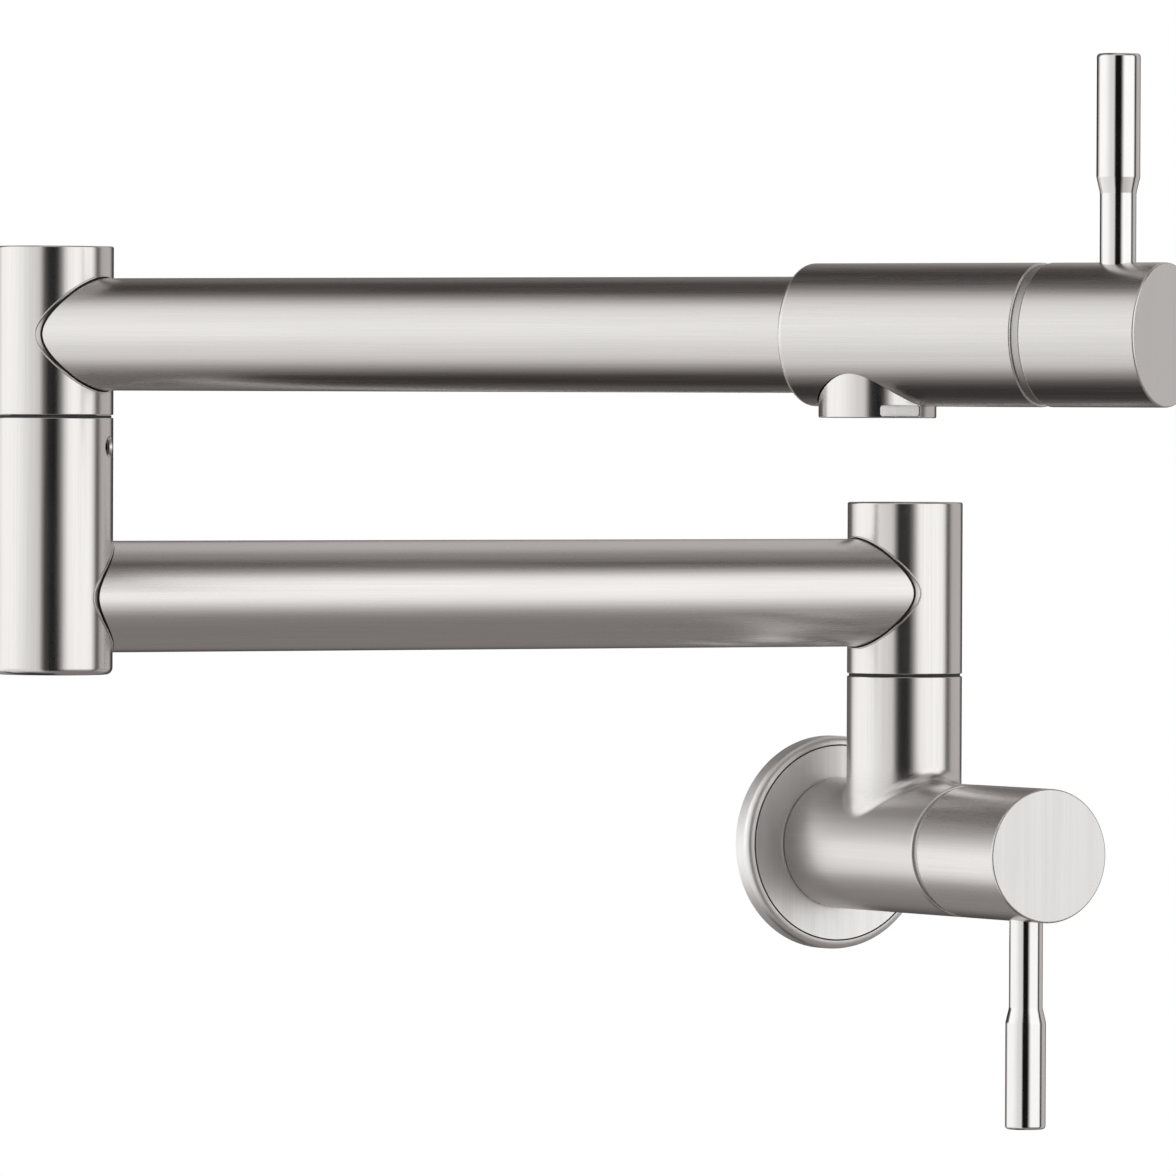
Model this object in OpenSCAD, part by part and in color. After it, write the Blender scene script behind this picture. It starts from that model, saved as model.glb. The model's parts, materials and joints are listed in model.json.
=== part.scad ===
// Wall mounted pot filler: two swivelling arms, a stop valve at the wall and one at the spout.
// Millimetres. The wall is the plane Y = 0, the room is towards -Y, and Z is up.
// The origin is the centre of the cover plate's back, on the axis of the supply thread.

/* [Wall plate] */
// Diameter of the cover plate
flange_d = 57; // [52:0.5:70]
// Thickness of the cover plate
flange_t = 6.5; // [5:0.1:9]
// Radius of the cover plate's rounded front edge
flange_edge = 2.2; // [1:0.1:3]
// Width of the flat land that meets the wall
flange_land = 4.5; // [3:0.1:7]
// Diameter of the valve neck that passes through the plate
neck_d = 28; // [26:0.1:31]
// Thickness of the rubber gasket
gasket_t = 1.5; // [1:0.1:2.5]

/* [Supply thread] */
// Outer diameter of the half inch supply thread
thread_d = 20.9; // [20:0.1:22]
// Length of thread that reaches into the wall
thread_in_wall = 20; // [14:0.5:30]
// Length of thread inside the valve body
thread_in_body = 12; // [9:0.5:15]
// Length of the supply thread in front of the wall, inside the gasket
thread_proud = 0.5; // [0.3:0.1:1]
// Width of the plain groove between the nipple's two threads
thread_relief_w = 2.5; // [2:0.1:3]
// Depth of the plain groove between the nipple's two threads
thread_relief_depth = 0.8; // [0.5:0.1:1.2]
// Gap round the thread in the gasket and in the mouth of the neck
thread_gap = 0.9; // [0.8:0.1:1.2]
// Water bore of the nipple
nipple_bore_d = 11.5; // [9:0.1:11.5]
// Width across the flats of the nipple's inner hexagon
nipple_hex_w = 12; // [11.6:0.1:13.5]
// Thickness of the sealing washer behind the nipple
inlet_washer_t = 2; // [1.5:0.1:3]

/* [Valves] */
// Diameter of both valve bodies and caps
valve_d = 35; // [33:0.1:40]
// Wall of both valve bodies round their cartridges
valve_wall = 5.5; // [5:0.1:6]
// Distance from the shoulder's axis to the inlet cartridge's seat
inlet_seat_from_post = 4.5; // [3:0.1:6]
// Length of the inlet cap
inlet_cap_len = 37.7; // [32:0.1:44]
// Distance from the inlet cap's front face to its lever
inlet_lever_in = 11.2; // [9:0.1:14]
// Length of the outlet cap
outlet_cap_len = 31.6; // [28:0.1:40]
// Distance from the outlet cap's front face to its lever
outlet_lever_in = 13.6; // [9:0.1:15]
// Width of the ring in the groove behind each cap
slip_ring_w = 2; // [1.5:0.1:3]
// Depth of the groove behind each cap
groove_depth = 1.1; // [0.8:0.1:1.8]

/* [Levers] */
// Diameter of the lever's grip
grip_d = 10.6; // [9.2:0.1:12]
// Diameter of the lever's stem
lever_stem_d = 8.8; // [7.5:0.1:9]
// Length of the inlet lever outside its cap
inlet_lever_len = 54.1; // [45:0.1:70]
// Length of the inlet lever's grip
inlet_grip_len = 28; // [20:0.1:36]
// Length of the outlet lever outside its cap
outlet_lever_len = 50.4; // [45:0.1:70]
// Length of the outlet lever's grip
outlet_grip_len = 30; // [20:0.1:36]
// Length of the cone between stem and grip
lever_cone_len = 3.5; // [2:0.1:5]
// Depth of the lever's seat in the cap
lever_seat = 3; // [2:0.1:4]
// Diameter of the lever's thread inside the cap
lever_thread_d = 6; // [5:0.1:7]

/* [Posts] */
// Diameter of the upright posts
post_d = 30.5; // [29.5:0.1:33]
// Distance from the wall to the shoulder's axis
post_from_wall = 39.6; // [38:0.1:44]
// Height of the shoulder seam above the valve's axis
riser_h = 45.65; // [44:0.05:60]
// Height of the post above the shoulder seam
shoulder_h = 45.7; // [42:0.1:60]
// Height of the lower arm's axis above the shoulder seam
lower_arm_rise = 21.8; // [21:0.1:24]
// Distance from the lower arm's axis down to the elbow's foot
elbow_drop = 19.7; // [17.5:0.1:26]
// Height of the lower elbow post
elbow_post_h = 65.7; // [62:0.1:90]
// Height of the upper elbow post
elbow_knuckle_h = 43.2; // [41:0.1:60]
// Height of the upper arm's axis above the elbow seam
upper_arm_rise = 20.8; // [20.5:0.1:23]
// Radius of the blend between the riser and the inlet body
riser_blend_r = 4; // [2:0.1:6]
// Thickness of the closed end of each post
post_end_t = 4; // [3:0.1:5]
// Rounding of the elbow's foot and of the outlet body's back
foot_round = 1.8; // [0.8:0.1:2.5]

/* [Arms] */
// Outer diameter of both arm tubes
arm_d = 28.5; // [27:0.1:29]
// Wall thickness of the arm tubes
arm_wall = 1.6; // [1:0.1:2.5]
// Diameter of the water ports from the posts into the arms
arm_port_d = 21; // [18:0.1:21]
// Length of the lower arm between its swivel axes
lower_arm_len = 254.2; // [200:0.1:320]
// Direction of the lower arm at rest, where 180 is along the wall to the left
lower_arm_deg = 180; // [180:1:360]
// Direction of the upper arm at rest
upper_arm_deg = -60.8; // [-120:0.1:-20]
// Distance from the elbow's axis to the back of the outlet body
outlet_body_start = 221.6; // [180:0.1:280]
// Distance from the outlet body's back to the spout's axis
outlet_back = 19; // [18:0.1:24]
// Distance from the spout's axis to the outlet cartridge's seat
outlet_seat_from_spout = 18.2; // [17:0.1:30]
// Diameter of the three water channels along the outlet body
channel_d = 5; // [4:0.1:5.4]
// Diameter of the port from the outlet seat to the spout
outlet_port_d = 10; // [8:0.1:12]

/* [Spout] */
// Diameter of the aerator housing
aerator_d = 28.8; // [26:0.1:29]
// Height of the aerator housing
aerator_h = 13.8; // [12:0.1:15]
// Length of the aerator housing that shows below the outlet body
aerator_proud = 2.8; // [1.6:0.1:6]
// Wall thickness of the aerator housing
aerator_wall = 3.2; // [2:0.1:4]
// Width and thickness of the lip that holds the insert
aerator_lip = 1.6; // [1:0.1:2.2]
// Thickness of the rubber washer above the insert
aerator_washer_t = 2; // [1.5:0.1:3]
// Width of the two spanner flats
flat_w = 10.6; // [8:0.1:13]
// Height of the two spanner flats
flat_h = 2.7; // [2:0.1:3.2]
// Depth of the two spanner flats
flat_depth = 1; // [0.6:0.1:1.4]
// Direction of the spanner flats, seen from below the spout
flat_deg = 126; // [0:1:180]

/* [Swivels] */
// Diameter of the swivel spigots
spigot_d = 21.9; // [20:0.1:22.5]
// Water bore of the spigots
spigot_bore_d = 15; // [13:0.1:16]
// Length of spigot below its seam
spigot_drop = 26; // [22:0.1:28]
// Length of spigot threaded into the post above
spigot_grip = 9; // [7:0.1:9.4]
// Distance of the grub screw below the seam
screw_drop = 7.75; // [6:0.05:9]
// Diameter of the grub screws
screw_d = 4; // [3:0.1:4.5]
// Depth of the grub screws' countersunk mouth
screw_recess = 1; // [0.6:0.1:1.4]
// Direction of the shoulder's grub screw, where 90 faces the wall
shoulder_screw_deg = 90; // [60:1:120]
// Direction of the elbow's grub screw, from the lower arm's own direction
elbow_screw_deg = 132; // [70:1:140]
// Depth of the groove that the grub screw runs in
screw_groove_depth = 1.5; // [1:0.1:2]
// Section diameter of the swivel O rings
o_ring_d = 1.5; // [1.2:0.1:1.8]
// Thickness of the glide washers
glide_t = 0.5; // [0.4:0.05:1]

/* [Cartridge] */
// Length of the cartridge from its seat to the body's front face
cartridge_len = 28; // [26:0.1:29]
// Wall of the bonnet's shell round the discs
shell_wall = 1.5; // [1.2:0.1:2]
// Width of the ring shaped water way round the bonnet's shell
bonnet_gap = 1; // [0.8:0.1:1.2]
// Thickness of each ceramic disc
disc_t = 3; // [2.5:0.1:3.5]
// Thickness of the seal under the fixed disc
disc_seal_t = 1.5; // [1:0.1:2]
// Width of the seal under the fixed disc
disc_seal_w = 3; // [2.5:0.1:3.5]
// Thickness of the stem's driving flange
driver_t = 2.5; // [2:0.1:3]
// Diameter of the cartridge stem
cartridge_stem_d = 10; // [9:0.1:11]
// Diameter of the stem's driven end inside the cap
drive_d = 8; // [7:0.1:8.8]
// Section diameter of the stem's O ring
stem_ring_d = 1.4; // [1:0.1:1.8]

/* [Hidden] */
$fn = 96;

// Clearances: radial on turning shafts, radial between threaded parts, and between turning faces
run_clear = 0.05;
fit_clear = 0.03;
turn_gap = 0.2;
// Length by which a cutting shape passes a face
overrun = 1;
edge_chamfer = 0.4;

// Colours
steel = [0.74, 0.73, 0.72];
polished = [0.86, 0.86, 0.87];
dark_steel = [0.28, 0.28, 0.29];
brass = [0.78, 0.62, 0.32];
rubber = [0.12, 0.12, 0.12];
ceramic = [0.93, 0.92, 0.88];
nylon = [0.88, 0.88, 0.88];

// Radii
flange_r = flange_d / 2;
neck_r = neck_d / 2;
thread_r = thread_d / 2;
hex_corner_r = nipple_hex_w / sqrt(3);
valve_r = valve_d / 2;
bonnet_r = valve_r - valve_wall;
shell_r = bonnet_r - bonnet_gap;
disc_r = shell_r - shell_wall;
water_r = disc_r - disc_seal_w;
post_r = post_d / 2;
arm_r = arm_d / 2;
arm_bore_r = arm_r - arm_wall;
spigot_r = spigot_d / 2;
spigot_bore_r = spigot_bore_d / 2;
swivel_bore_r = spigot_r + run_clear;
screw_r = screw_d / 2;
aerator_r = aerator_d / 2;
aerator_bore_r = aerator_r - aerator_wall;
lever_thread_r = lever_thread_d / 2;

// Distances along the inlet, from the wall
relief_end = thread_proud + thread_relief_w;
socket_end = gasket_t + thread_in_body;
washer_end = socket_end + inlet_washer_t;
inlet_seat_at = post_from_wall + inlet_seat_from_post;
inlet_front_at = inlet_seat_at + cartridge_len;

// Distances along the upper arm, from the elbow's axis
spout_at = outlet_body_start + outlet_back;
outlet_seat_at = spout_at + outlet_seat_from_spout;
outlet_front_at = outlet_seat_at + cartridge_len;
aerator_drop = valve_r + aerator_proud;
tube_end_at = spout_at - aerator_r - aerator_lip / 2;

// Heights
seam_h = glide_t + turn_gap;
shoulder_top = riser_h + shoulder_h;
lower_arm_z = riser_h + lower_arm_rise;
elbow_foot = lower_arm_z - elbow_drop;
elbow_seam = elbow_foot + elbow_post_h;
elbow_top = elbow_seam + elbow_knuckle_h;
upper_arm_z = elbow_seam + upper_arm_rise;

// Frames: Z of the inlet runs out from the wall, and Z of the upper arm runs along it, both with Y up
module at_inlet() rotate([90, 0, 0]) children();
module at_riser() translate([0, -post_from_wall, 0]) children();
module at_shoulder() at_riser() rotate([0, 0, lower_arm_deg]) children();
module at_elbow_post() at_shoulder() translate([lower_arm_len, 0, 0]) children();
module at_elbow() at_elbow_post() rotate([0, 0, upper_arm_deg - lower_arm_deg]) children();
module at_upper_arm() at_elbow() translate([0, 0, upper_arm_z]) rotate([90, 0, 90]) children();
module at_inlet_seat() at_inlet() translate([0, 0, inlet_seat_at]) children();
module at_outlet_seat() at_upper_arm() translate([0, 0, outlet_seat_at]) children();
// The spout's Z points down, from the upper arm's axis
module at_spout() at_upper_arm() translate([0, 0, spout_at]) rotate([90, 0, 0]) children();

// Turned blank from z0 to z1, with a small chamfer at each end that is asked for
module bar(r, z0, z1, low = 0, high = 0) {
    rotate_extrude() polygon([
        [0, z0], [r - low, z0], [r, z0 + low], [r, z1 - high], [r - high, z1], [0, z1]
    ]);
}

// Turned blank with a rounded edge at z0 and a small chamfer at z1
module round_bar(r, z0, z1, size) {
    rotate_extrude() {
        translate([0, z0]) square([r - size, z1 - z0]);
        translate([r - size, z0 + size]) circle(r = size);
        polygon([
            [0, z0 + size], [r, z0 + size], [r, z1 - edge_chamfer], [r - edge_chamfer, z1], [0, z1]
        ]);
    }
}

// Ring from z0 to z1
module ring(outer, inner, z0, z1) {
    rotate_extrude() translate([inner, z0]) square([outer - inner, z1 - z0]);
}

// Part of a ring, from one angle over a sweep
module sector(inner, outer, z0, z1, from, sweep) {
    rotate_extrude(angle = sweep, start = from) translate([inner, z0]) square([outer - inner, z1 - z0]);
}

module o_ring(outer, d, z) {
    rotate_extrude() translate([outer - d / 2, z]) circle(d = d);
}

// Cover plate: rounded front rim, a recess for the gasket and a bore for the valve's neck
module wall_flange() {
    color(steel) at_inlet() difference() {
        translate([0, 0, flange_t]) mirror([0, 0, 1]) round_bar(flange_r, 0, flange_t, flange_edge);
        translate([0, 0, -overrun]) cylinder(r = neck_r + 2 * fit_clear, h = flange_t + 2 * overrun);
        translate([0, 0, -overrun]) cylinder(r = flange_r - flange_land, h = gasket_t + overrun);
    }
}

module wall_gasket() {
    color(rubber) at_inlet() ring(flange_r - flange_land - fit_clear, thread_r + thread_gap, 0, gasket_t);
}

// Supply nipple: two threads with a plain groove between them, and a hexagon inside for tightening it
module inlet_nipple() {
    color(brass) at_inlet() difference() {
        bar(thread_r, -thread_in_wall, socket_end, 2 * edge_chamfer, edge_chamfer);
        translate([0, 0, -thread_in_wall - overrun])
            cylinder(d = nipple_bore_d, h = thread_in_wall + socket_end + 2 * overrun);
        translate([0, 0, socket_end - thread_in_body / 2])
            cylinder(r = hex_corner_r, h = thread_in_body, $fn = 6);
        ring(flange_r, thread_r - thread_relief_depth, thread_proud, relief_end);
    }
}

module inlet_washer() {
    color(rubber) at_inlet() ring(thread_r - fit_clear, hex_corner_r, socket_end, washer_end);
}

// Threaded hole with a countersunk mouth, through one wall of a post below its seam
module screw_hole(seam, deg) {
    translate([0, 0, seam - screw_drop]) rotate([0, 90, deg]) {
        translate([0, 0, swivel_bore_r - overrun]) cylinder(r = screw_r + fit_clear, h = post_r);
        translate([0, 0, post_r - screw_recess])
            cylinder(r1 = screw_r, r2 = screw_r + screw_recess, h = 2 * screw_recess);
    }
}

// Grub screw with a hexagon socket, its point in the spigot's groove
module grub_screw(seam, deg) {
    tip = spigot_r - screw_groove_depth + 2 * turn_gap;
    head = post_r - screw_recess;
    color(dark_steel) translate([0, 0, seam - screw_drop]) rotate([0, 90, deg]) difference() {
        bar(screw_r, tip, head, edge_chamfer, 0);
        translate([0, 0, head - screw_r]) cylinder(r = screw_r / sqrt(3), h = screw_d, $fn = 6);
    }
}

module shoulder_set_screw() at_riser() grub_screw(riser_h, shoulder_screw_deg);
module elbow_set_screw() at_elbow_post() grub_screw(elbow_seam, elbow_screw_deg);

// Blend at the riser's foot: the ring that a ball leaves when it rolls between riser and body.
// Each section has the ball's arc, sunk at its two ends, and a corner inside the metal.
blend_sections = 72;
blend_arc_steps = 6;
blend_sink = 0.05;
blend_corner_in = 1;
function blend_point(centre, to_riser, to_body, angle, i) =
    let (turn = angle * i / blend_arc_steps, sink = i % blend_arc_steps == 0 ? blend_sink : 0)
    centre + (riser_blend_r + sink) * (sin(angle - turn) * to_riser + sin(turn) * to_body) / sin(angle);
function blend_section(deg) =
    let (
        around = [cos(deg), sin(deg), 0],
        middle = (post_r + riser_blend_r) * around,
        centre = middle + [0, 0, sqrt(pow(valve_r + riser_blend_r, 2) - pow(middle.x, 2))],
        to_body = -[centre.x, 0, centre.z] / (valve_r + riser_blend_r),
        corner = (post_r - blend_corner_in) * around,
        corner_z = sqrt(pow(valve_r - blend_corner_in, 2) - pow(corner.x, 2))
    )
    [
        for (i = [0 : blend_arc_steps])
            blend_point(centre, -around, to_body, acos(-around * to_body), i),
        corner + [0, 0, corner_z]
    ];
module riser_blend() {
    rows = blend_arc_steps + 2;
    points = [for (s = [0 : blend_sections - 1]) each blend_section(360 * s / blend_sections)];
    faces = [
        for (s = [0 : blend_sections - 1], row = [0 : rows - 1])
            let (
                here = s * rows, next = (s + 1) % blend_sections * rows, up = (row + 1) % rows
            )
            each [[here + row, here + up, next + up], [here + row, next + up, next + row]]
    ];
    polyhedron(points, faces);
}

// Inlet body: a horizontal turned body with the riser standing on it
riser_passage_r = spigot_bore_r + edge_chamfer;
riser_passage_floor = water_r + aerator_lip;
module inlet_valve_body() {
    riser_top = riser_h - seam_h / 2;
    color(steel) difference() {
        union() {
            at_inlet() bar(valve_r, flange_t, inlet_front_at, edge_chamfer, edge_chamfer);
            at_inlet() translate([0, 0, gasket_t]) cylinder(r = neck_r, h = flange_t);
            at_riser() bar(post_r, 0, riser_top, 0, edge_chamfer);
            at_riser() riser_blend();
        }
        at_inlet() {
            translate([0, 0, gasket_t - overrun])
                cylinder(r = thread_r + fit_clear, h = thread_in_body + inlet_washer_t + overrun);
            cylinder(r = thread_r + thread_gap, h = relief_end);
            translate([0, 0, gasket_t]) cylinder(r = water_r, h = inlet_seat_at);
            translate([0, 0, inlet_seat_at]) cylinder(r = bonnet_r, h = cartridge_len + overrun);
        }
        at_riser() {
            translate([0, 0, riser_top - spigot_drop - 2 * turn_gap])
                cylinder(r = swivel_bore_r, h = spigot_drop + overrun);
            translate([0, 0, riser_passage_floor]) cylinder(r = riser_passage_r, h = riser_h / 2);
            screw_hole(riser_h, shoulder_screw_deg);
        }
    }
}

// Spigot of a swivel: threaded into the post above, sealed and held in the post below
o_ring_place_shares = [0.55, 0.78];
groove_width_share = 1.2;
module spigot(seam) {
    foot = seam - seam_h / 2 - spigot_drop;
    head = seam + seam_h / 2 + spigot_grip;
    screw_z = seam - screw_drop;
    screw_groove_w = screw_d + 3 * turn_gap;
    color(brass) difference() {
        bar(spigot_r, foot, head, edge_chamfer, edge_chamfer);
        translate([0, 0, foot - overrun]) cylinder(r = spigot_bore_r, h = head - foot + 2 * overrun);
        ring(post_r, spigot_r - screw_groove_depth, screw_z - screw_groove_w / 2, screw_z + screw_groove_w / 2);
        for (share = o_ring_place_shares) translate([0, 0, seam - spigot_drop * share])
            ring(
                post_r, spigot_r - o_ring_d - run_clear,
                -o_ring_d * groove_width_share / 2, o_ring_d * groove_width_share / 2
            );
    }
}

module o_rings(seam) {
    color(rubber) for (share = o_ring_place_shares) o_ring(spigot_r, o_ring_d, seam - spigot_drop * share);
}

module glide_washer(seam) {
    foot = seam - seam_h / 2;
    color(nylon) ring(post_r - turn_gap, swivel_bore_r + turn_gap, foot, foot + glide_t);
}

module shoulder_spigot() at_shoulder() spigot(riser_h);
module shoulder_o_rings() at_shoulder() o_rings(riser_h);
module shoulder_glide_washer() at_riser() glide_washer(riser_h);
module elbow_spigot() at_elbow() spigot(elbow_seam);
module elbow_o_rings() at_elbow() o_rings(elbow_seam);
module elbow_glide_washer() at_elbow_post() glide_washer(elbow_seam);

// Post above a seam: closed at the top, bored from below for the spigot, with a port to its arm
module knuckle(seam, top, port_z) {
    foot = seam + seam_h / 2;
    color(steel) difference() {
        bar(post_r, foot, top, edge_chamfer, edge_chamfer);
        translate([0, 0, foot - overrun]) cylinder(r = spigot_r + fit_clear, h = spigot_grip + overrun);
        translate([0, 0, foot]) cylinder(r = spigot_r - edge_chamfer, h = top - post_end_t - foot);
        translate([0, 0, port_z]) rotate([0, 90, 0]) cylinder(d = arm_port_d, h = post_d);
    }
}

module shoulder_knuckle() at_shoulder() knuckle(riser_h, shoulder_top, lower_arm_z);
module elbow_knuckle() at_elbow() knuckle(elbow_seam, elbow_top, upper_arm_z);

// Lower elbow post: closed and rounded at the foot, bored from above
module elbow_post() {
    color(steel) at_elbow_post() difference() {
        round_bar(post_r, elbow_foot, elbow_seam - seam_h / 2, foot_round);
        translate([0, 0, elbow_foot + post_end_t]) cylinder(r = swivel_bore_r, h = elbow_post_h);
        translate([0, 0, lower_arm_z]) rotate([0, -90, 0]) cylinder(d = arm_port_d, h = post_d);
        screw_hole(elbow_seam, elbow_screw_deg);
    }
}

// Arm tubes, coped to the posts that they are welded to
module lower_arm_tube() {
    color(steel) at_shoulder() difference() {
        translate([0, 0, lower_arm_z]) rotate([0, 90, 0]) ring(arm_r, arm_bore_r, 0, lower_arm_len);
        for (x = [0, lower_arm_len]) translate([x, 0, 0]) cylinder(r = post_r, h = elbow_top);
    }
}

module upper_arm_tube() {
    color(steel) difference() {
        at_upper_arm() ring(arm_r, arm_bore_r, 0, tube_end_at);
        at_elbow() cylinder(r = post_r, h = elbow_top + overrun);
    }
}

// Outlet body: socket for the arm, channels over the spout, a seat for the cartridge and the spout's bore
channel_spread_deg = 36;
module outlet_valve_body() {
    channel_y = disc_r + channel_d / 2 + turn_gap;
    color(steel) at_upper_arm() difference() {
        round_bar(valve_r, outlet_body_start, outlet_front_at, foot_round);
        translate([0, 0, outlet_body_start - overrun])
            cylinder(r = arm_r + fit_clear, h = tube_end_at - outlet_body_start + overrun);
        for (side = [-1, 0, 1]) rotate([0, 0, side * channel_spread_deg])
            translate([0, channel_y, outlet_body_start])
                cylinder(d = channel_d, h = outlet_seat_at + moving_top - outlet_body_start);
        translate([0, 0, outlet_seat_at]) cylinder(r = bonnet_r, h = cartridge_len + overrun);
        translate([0, 0, spout_at]) cylinder(d = outlet_port_d, h = outlet_front_at - spout_at);
        translate([0, 0, spout_at]) rotate([90, 0, 0]) {
            cylinder(r = aerator_bore_r - aerator_washer_t - edge_chamfer, h = valve_r);
            translate([0, 0, aerator_drop - aerator_h]) cylinder(r = aerator_r + run_clear, h = valve_d);
        }
    }
}

// Aerator: a threaded housing, whose lip holds the insert up against a washer
aerator_top = aerator_drop - aerator_h;
insert_top = aerator_top + aerator_washer_t;
insert_foot = aerator_drop - aerator_lip;

// Outline of a spanner flat, with round corners
corner_share = 0.25;
module spanner_flat() {
    corner = flat_h * corner_share;
    linear_extrude(aerator_r) {
        square([flat_w - 2 * corner, flat_h], center = true);
        square([flat_w, flat_h - 2 * corner], center = true);
        for (x = [-1, 1], y = [-1, 1])
            translate([x * (flat_w / 2 - corner), y * (flat_h / 2 - corner)]) circle(r = corner, $fn = 32);
    }
}

module aerator_housing() {
    flat_z = aerator_drop - edge_chamfer - flat_h / 2;
    color(steel) at_spout() difference() {
        bar(aerator_r, aerator_top + turn_gap, aerator_drop, edge_chamfer, edge_chamfer);
        translate([0, 0, aerator_top]) cylinder(r = aerator_bore_r, h = insert_foot - aerator_top);
        cylinder(r = aerator_bore_r - aerator_lip, h = aerator_drop + overrun);
        for (side = [0, 180]) rotate([0, 0, flat_deg + side])
            translate([aerator_r - flat_depth, 0, flat_z]) rotate([0, 90, 0]) rotate([0, 0, 90]) spanner_flat();
    }
}

// Insert: a disc of hexagonal tubes that straightens the stream
comb_rows = 3;
comb_hole_share = 0.4;
module aerator_insert() {
    pitch = aerator_bore_r / (comb_rows + 1);
    color(nylon) at_spout() difference() {
        bar(aerator_bore_r - fit_clear, insert_top, insert_foot);
        for (q = [-comb_rows : comb_rows], s = [-comb_rows : comb_rows]) if (abs(q + s) <= comb_rows)
            translate([pitch * (q + s / 2), pitch * s * sqrt(3) / 2, insert_top - overrun])
                cylinder(r = pitch * comb_hole_share, h = aerator_h + overrun, $fn = 6);
    }
}

module aerator_washer() {
    color(rubber) at_spout()
        ring(aerator_bore_r - fit_clear, aerator_bore_r - aerator_washer_t - edge_chamfer, aerator_top, insert_top);
}

// Quarter turn cartridge, from its seat at zero. Shut, the moving disc's lobes cover the fixed ports.
disc_play = turn_gap / 4;
fixed_top = disc_seal_t + disc_t;
moving_top = fixed_top + disc_play + disc_t;
driver_top = moving_top + disc_play + driver_t;
shell_top = driver_top + turn_gap;
cap_back = cartridge_len + slip_ring_w + turn_gap;
cartridge_stem_r = cartridge_stem_d / 2;
drive_r = drive_d / 2;
disc_hub_share = 0.3;
port_deg = 80;
port_start = (90 - port_deg) / 2;
opposite = [0, 180];

// The stem's lug turns in a pocket of the shell, which stops it after a quarter turn
stop_r = (disc_r + shell_r) / 2;
stop_start = 15;
stop_deg = 30;
stop_slack = 1;

// The fixed disc's ears stand in slots of the shell
ear_deg = 16;
ear_starts = [192, 282];

// The stem's two tangs drive the moving disc
tang_shares = [0.55, 0.8];
tang_deg = 30;
tang_start = 30;

module disc_seal() color(rubber) ring(disc_r, water_r, 0, disc_seal_t);

module fixed_disc() {
    color(ceramic) difference() {
        union() {
            bar(disc_r, disc_seal_t, fixed_top);
            for (from = ear_starts) sector(water_r, stop_r, disc_seal_t, fixed_top, from, ear_deg);
        }
        for (side = opposite)
            sector(
                disc_r * disc_hub_share, water_r - turn_gap,
                disc_seal_t - overrun, fixed_top + overrun, port_start + side, port_deg
            );
    }
}

module moving_disc() {
    foot = fixed_top + disc_play;
    color(ceramic) difference() {
        bar(disc_r, foot, moving_top);
        for (side = opposite) {
            sector(
                disc_r * disc_hub_share, bonnet_r,
                foot - overrun, moving_top + overrun, port_start + side + 90, port_deg
            );
            sector(
                disc_r * tang_shares[0], disc_r * tang_shares[1],
                moving_top - disc_t / 2, moving_top + overrun, tang_start + side, tang_deg
            );
        }
    }
}

module bonnet() {
    color(brass) difference() {
        union() {
            bar(shell_r, 0, shell_top + driver_t);
            bar(bonnet_r - fit_clear, shell_top, cartridge_len);
        }
        translate([0, 0, -overrun]) cylinder(r = disc_r + run_clear, h = shell_top + overrun);
        cylinder(r = cartridge_stem_r + run_clear, h = cartridge_len + overrun);
        sector(
            water_r, stop_r + turn_gap / 2, -overrun, shell_top,
            stop_start - stop_slack, stop_deg + 90 + 2 * stop_slack
        );
        for (from = ear_starts)
            sector(water_r, stop_r + fit_clear, -overrun, fixed_top, from - stop_slack, ear_deg + 2 * stop_slack);
        for (from = [30 : 90 : 300]) sector(water_r, bonnet_r, fixed_top, moving_top, from, tang_deg);
    }
}

// Stem: a driving flange, a sealed shaft, and a driven end that the lever's thread grips
module cartridge_stem(lever_at) {
    flange_foot = moving_top + disc_play;
    reach = lever_at + lever_thread_r + turn_gap;
    ring_z = (shell_top + cartridge_len) / 2;
    groove_w = stem_ring_d * groove_width_share;
    color(brass) difference() {
        union() {
            bar(disc_r - turn_gap, flange_foot, driver_top);
            bar(cartridge_stem_r, flange_foot, cap_back);
            bar(drive_r, flange_foot, reach);
            sector(cartridge_stem_r, stop_r, flange_foot, driver_top, stop_start, stop_deg);
            for (side = opposite)
                sector(
                    disc_r * tang_shares[0] + fit_clear, disc_r * tang_shares[1] - fit_clear,
                    moving_top - disc_t / 2 + disc_play, driver_top,
                    tang_start + stop_slack + side, tang_deg - 2 * stop_slack
                );
        }
        ring(bonnet_r, cartridge_stem_r - stem_ring_d - run_clear, ring_z - groove_w / 2, ring_z + groove_w / 2);
    }
}

module stem_ring() {
    color(rubber) o_ring(cartridge_stem_r, stem_ring_d, (shell_top + cartridge_len) / 2);
}

module slip_ring() {
    color(steel)
        ring(valve_r - groove_depth, cartridge_stem_r + turn_gap, cartridge_len, cartridge_len + slip_ring_w);
}

// Cap: a turned hub, bored for the stem and cross drilled for the lever
module cap(length, lever_in) {
    lever_at = cap_back + length - lever_in;
    color(steel) difference() {
        bar(valve_r, cap_back, cap_back + length, edge_chamfer, edge_chamfer);
        translate([0, 0, cap_back - overrun])
            cylinder(r = drive_r + fit_clear, h = lever_at + lever_thread_r + 2 * turn_gap - cap_back + overrun);
        translate([0, 0, lever_at]) rotate([-90, 0, 0]) {
            cylinder(r = lever_thread_r + fit_clear, h = valve_d);
            translate([0, 0, valve_r - lever_seat]) cylinder(r = lever_stem_d / 2 + fit_clear, h = valve_r);
        }
    }
}

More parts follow.
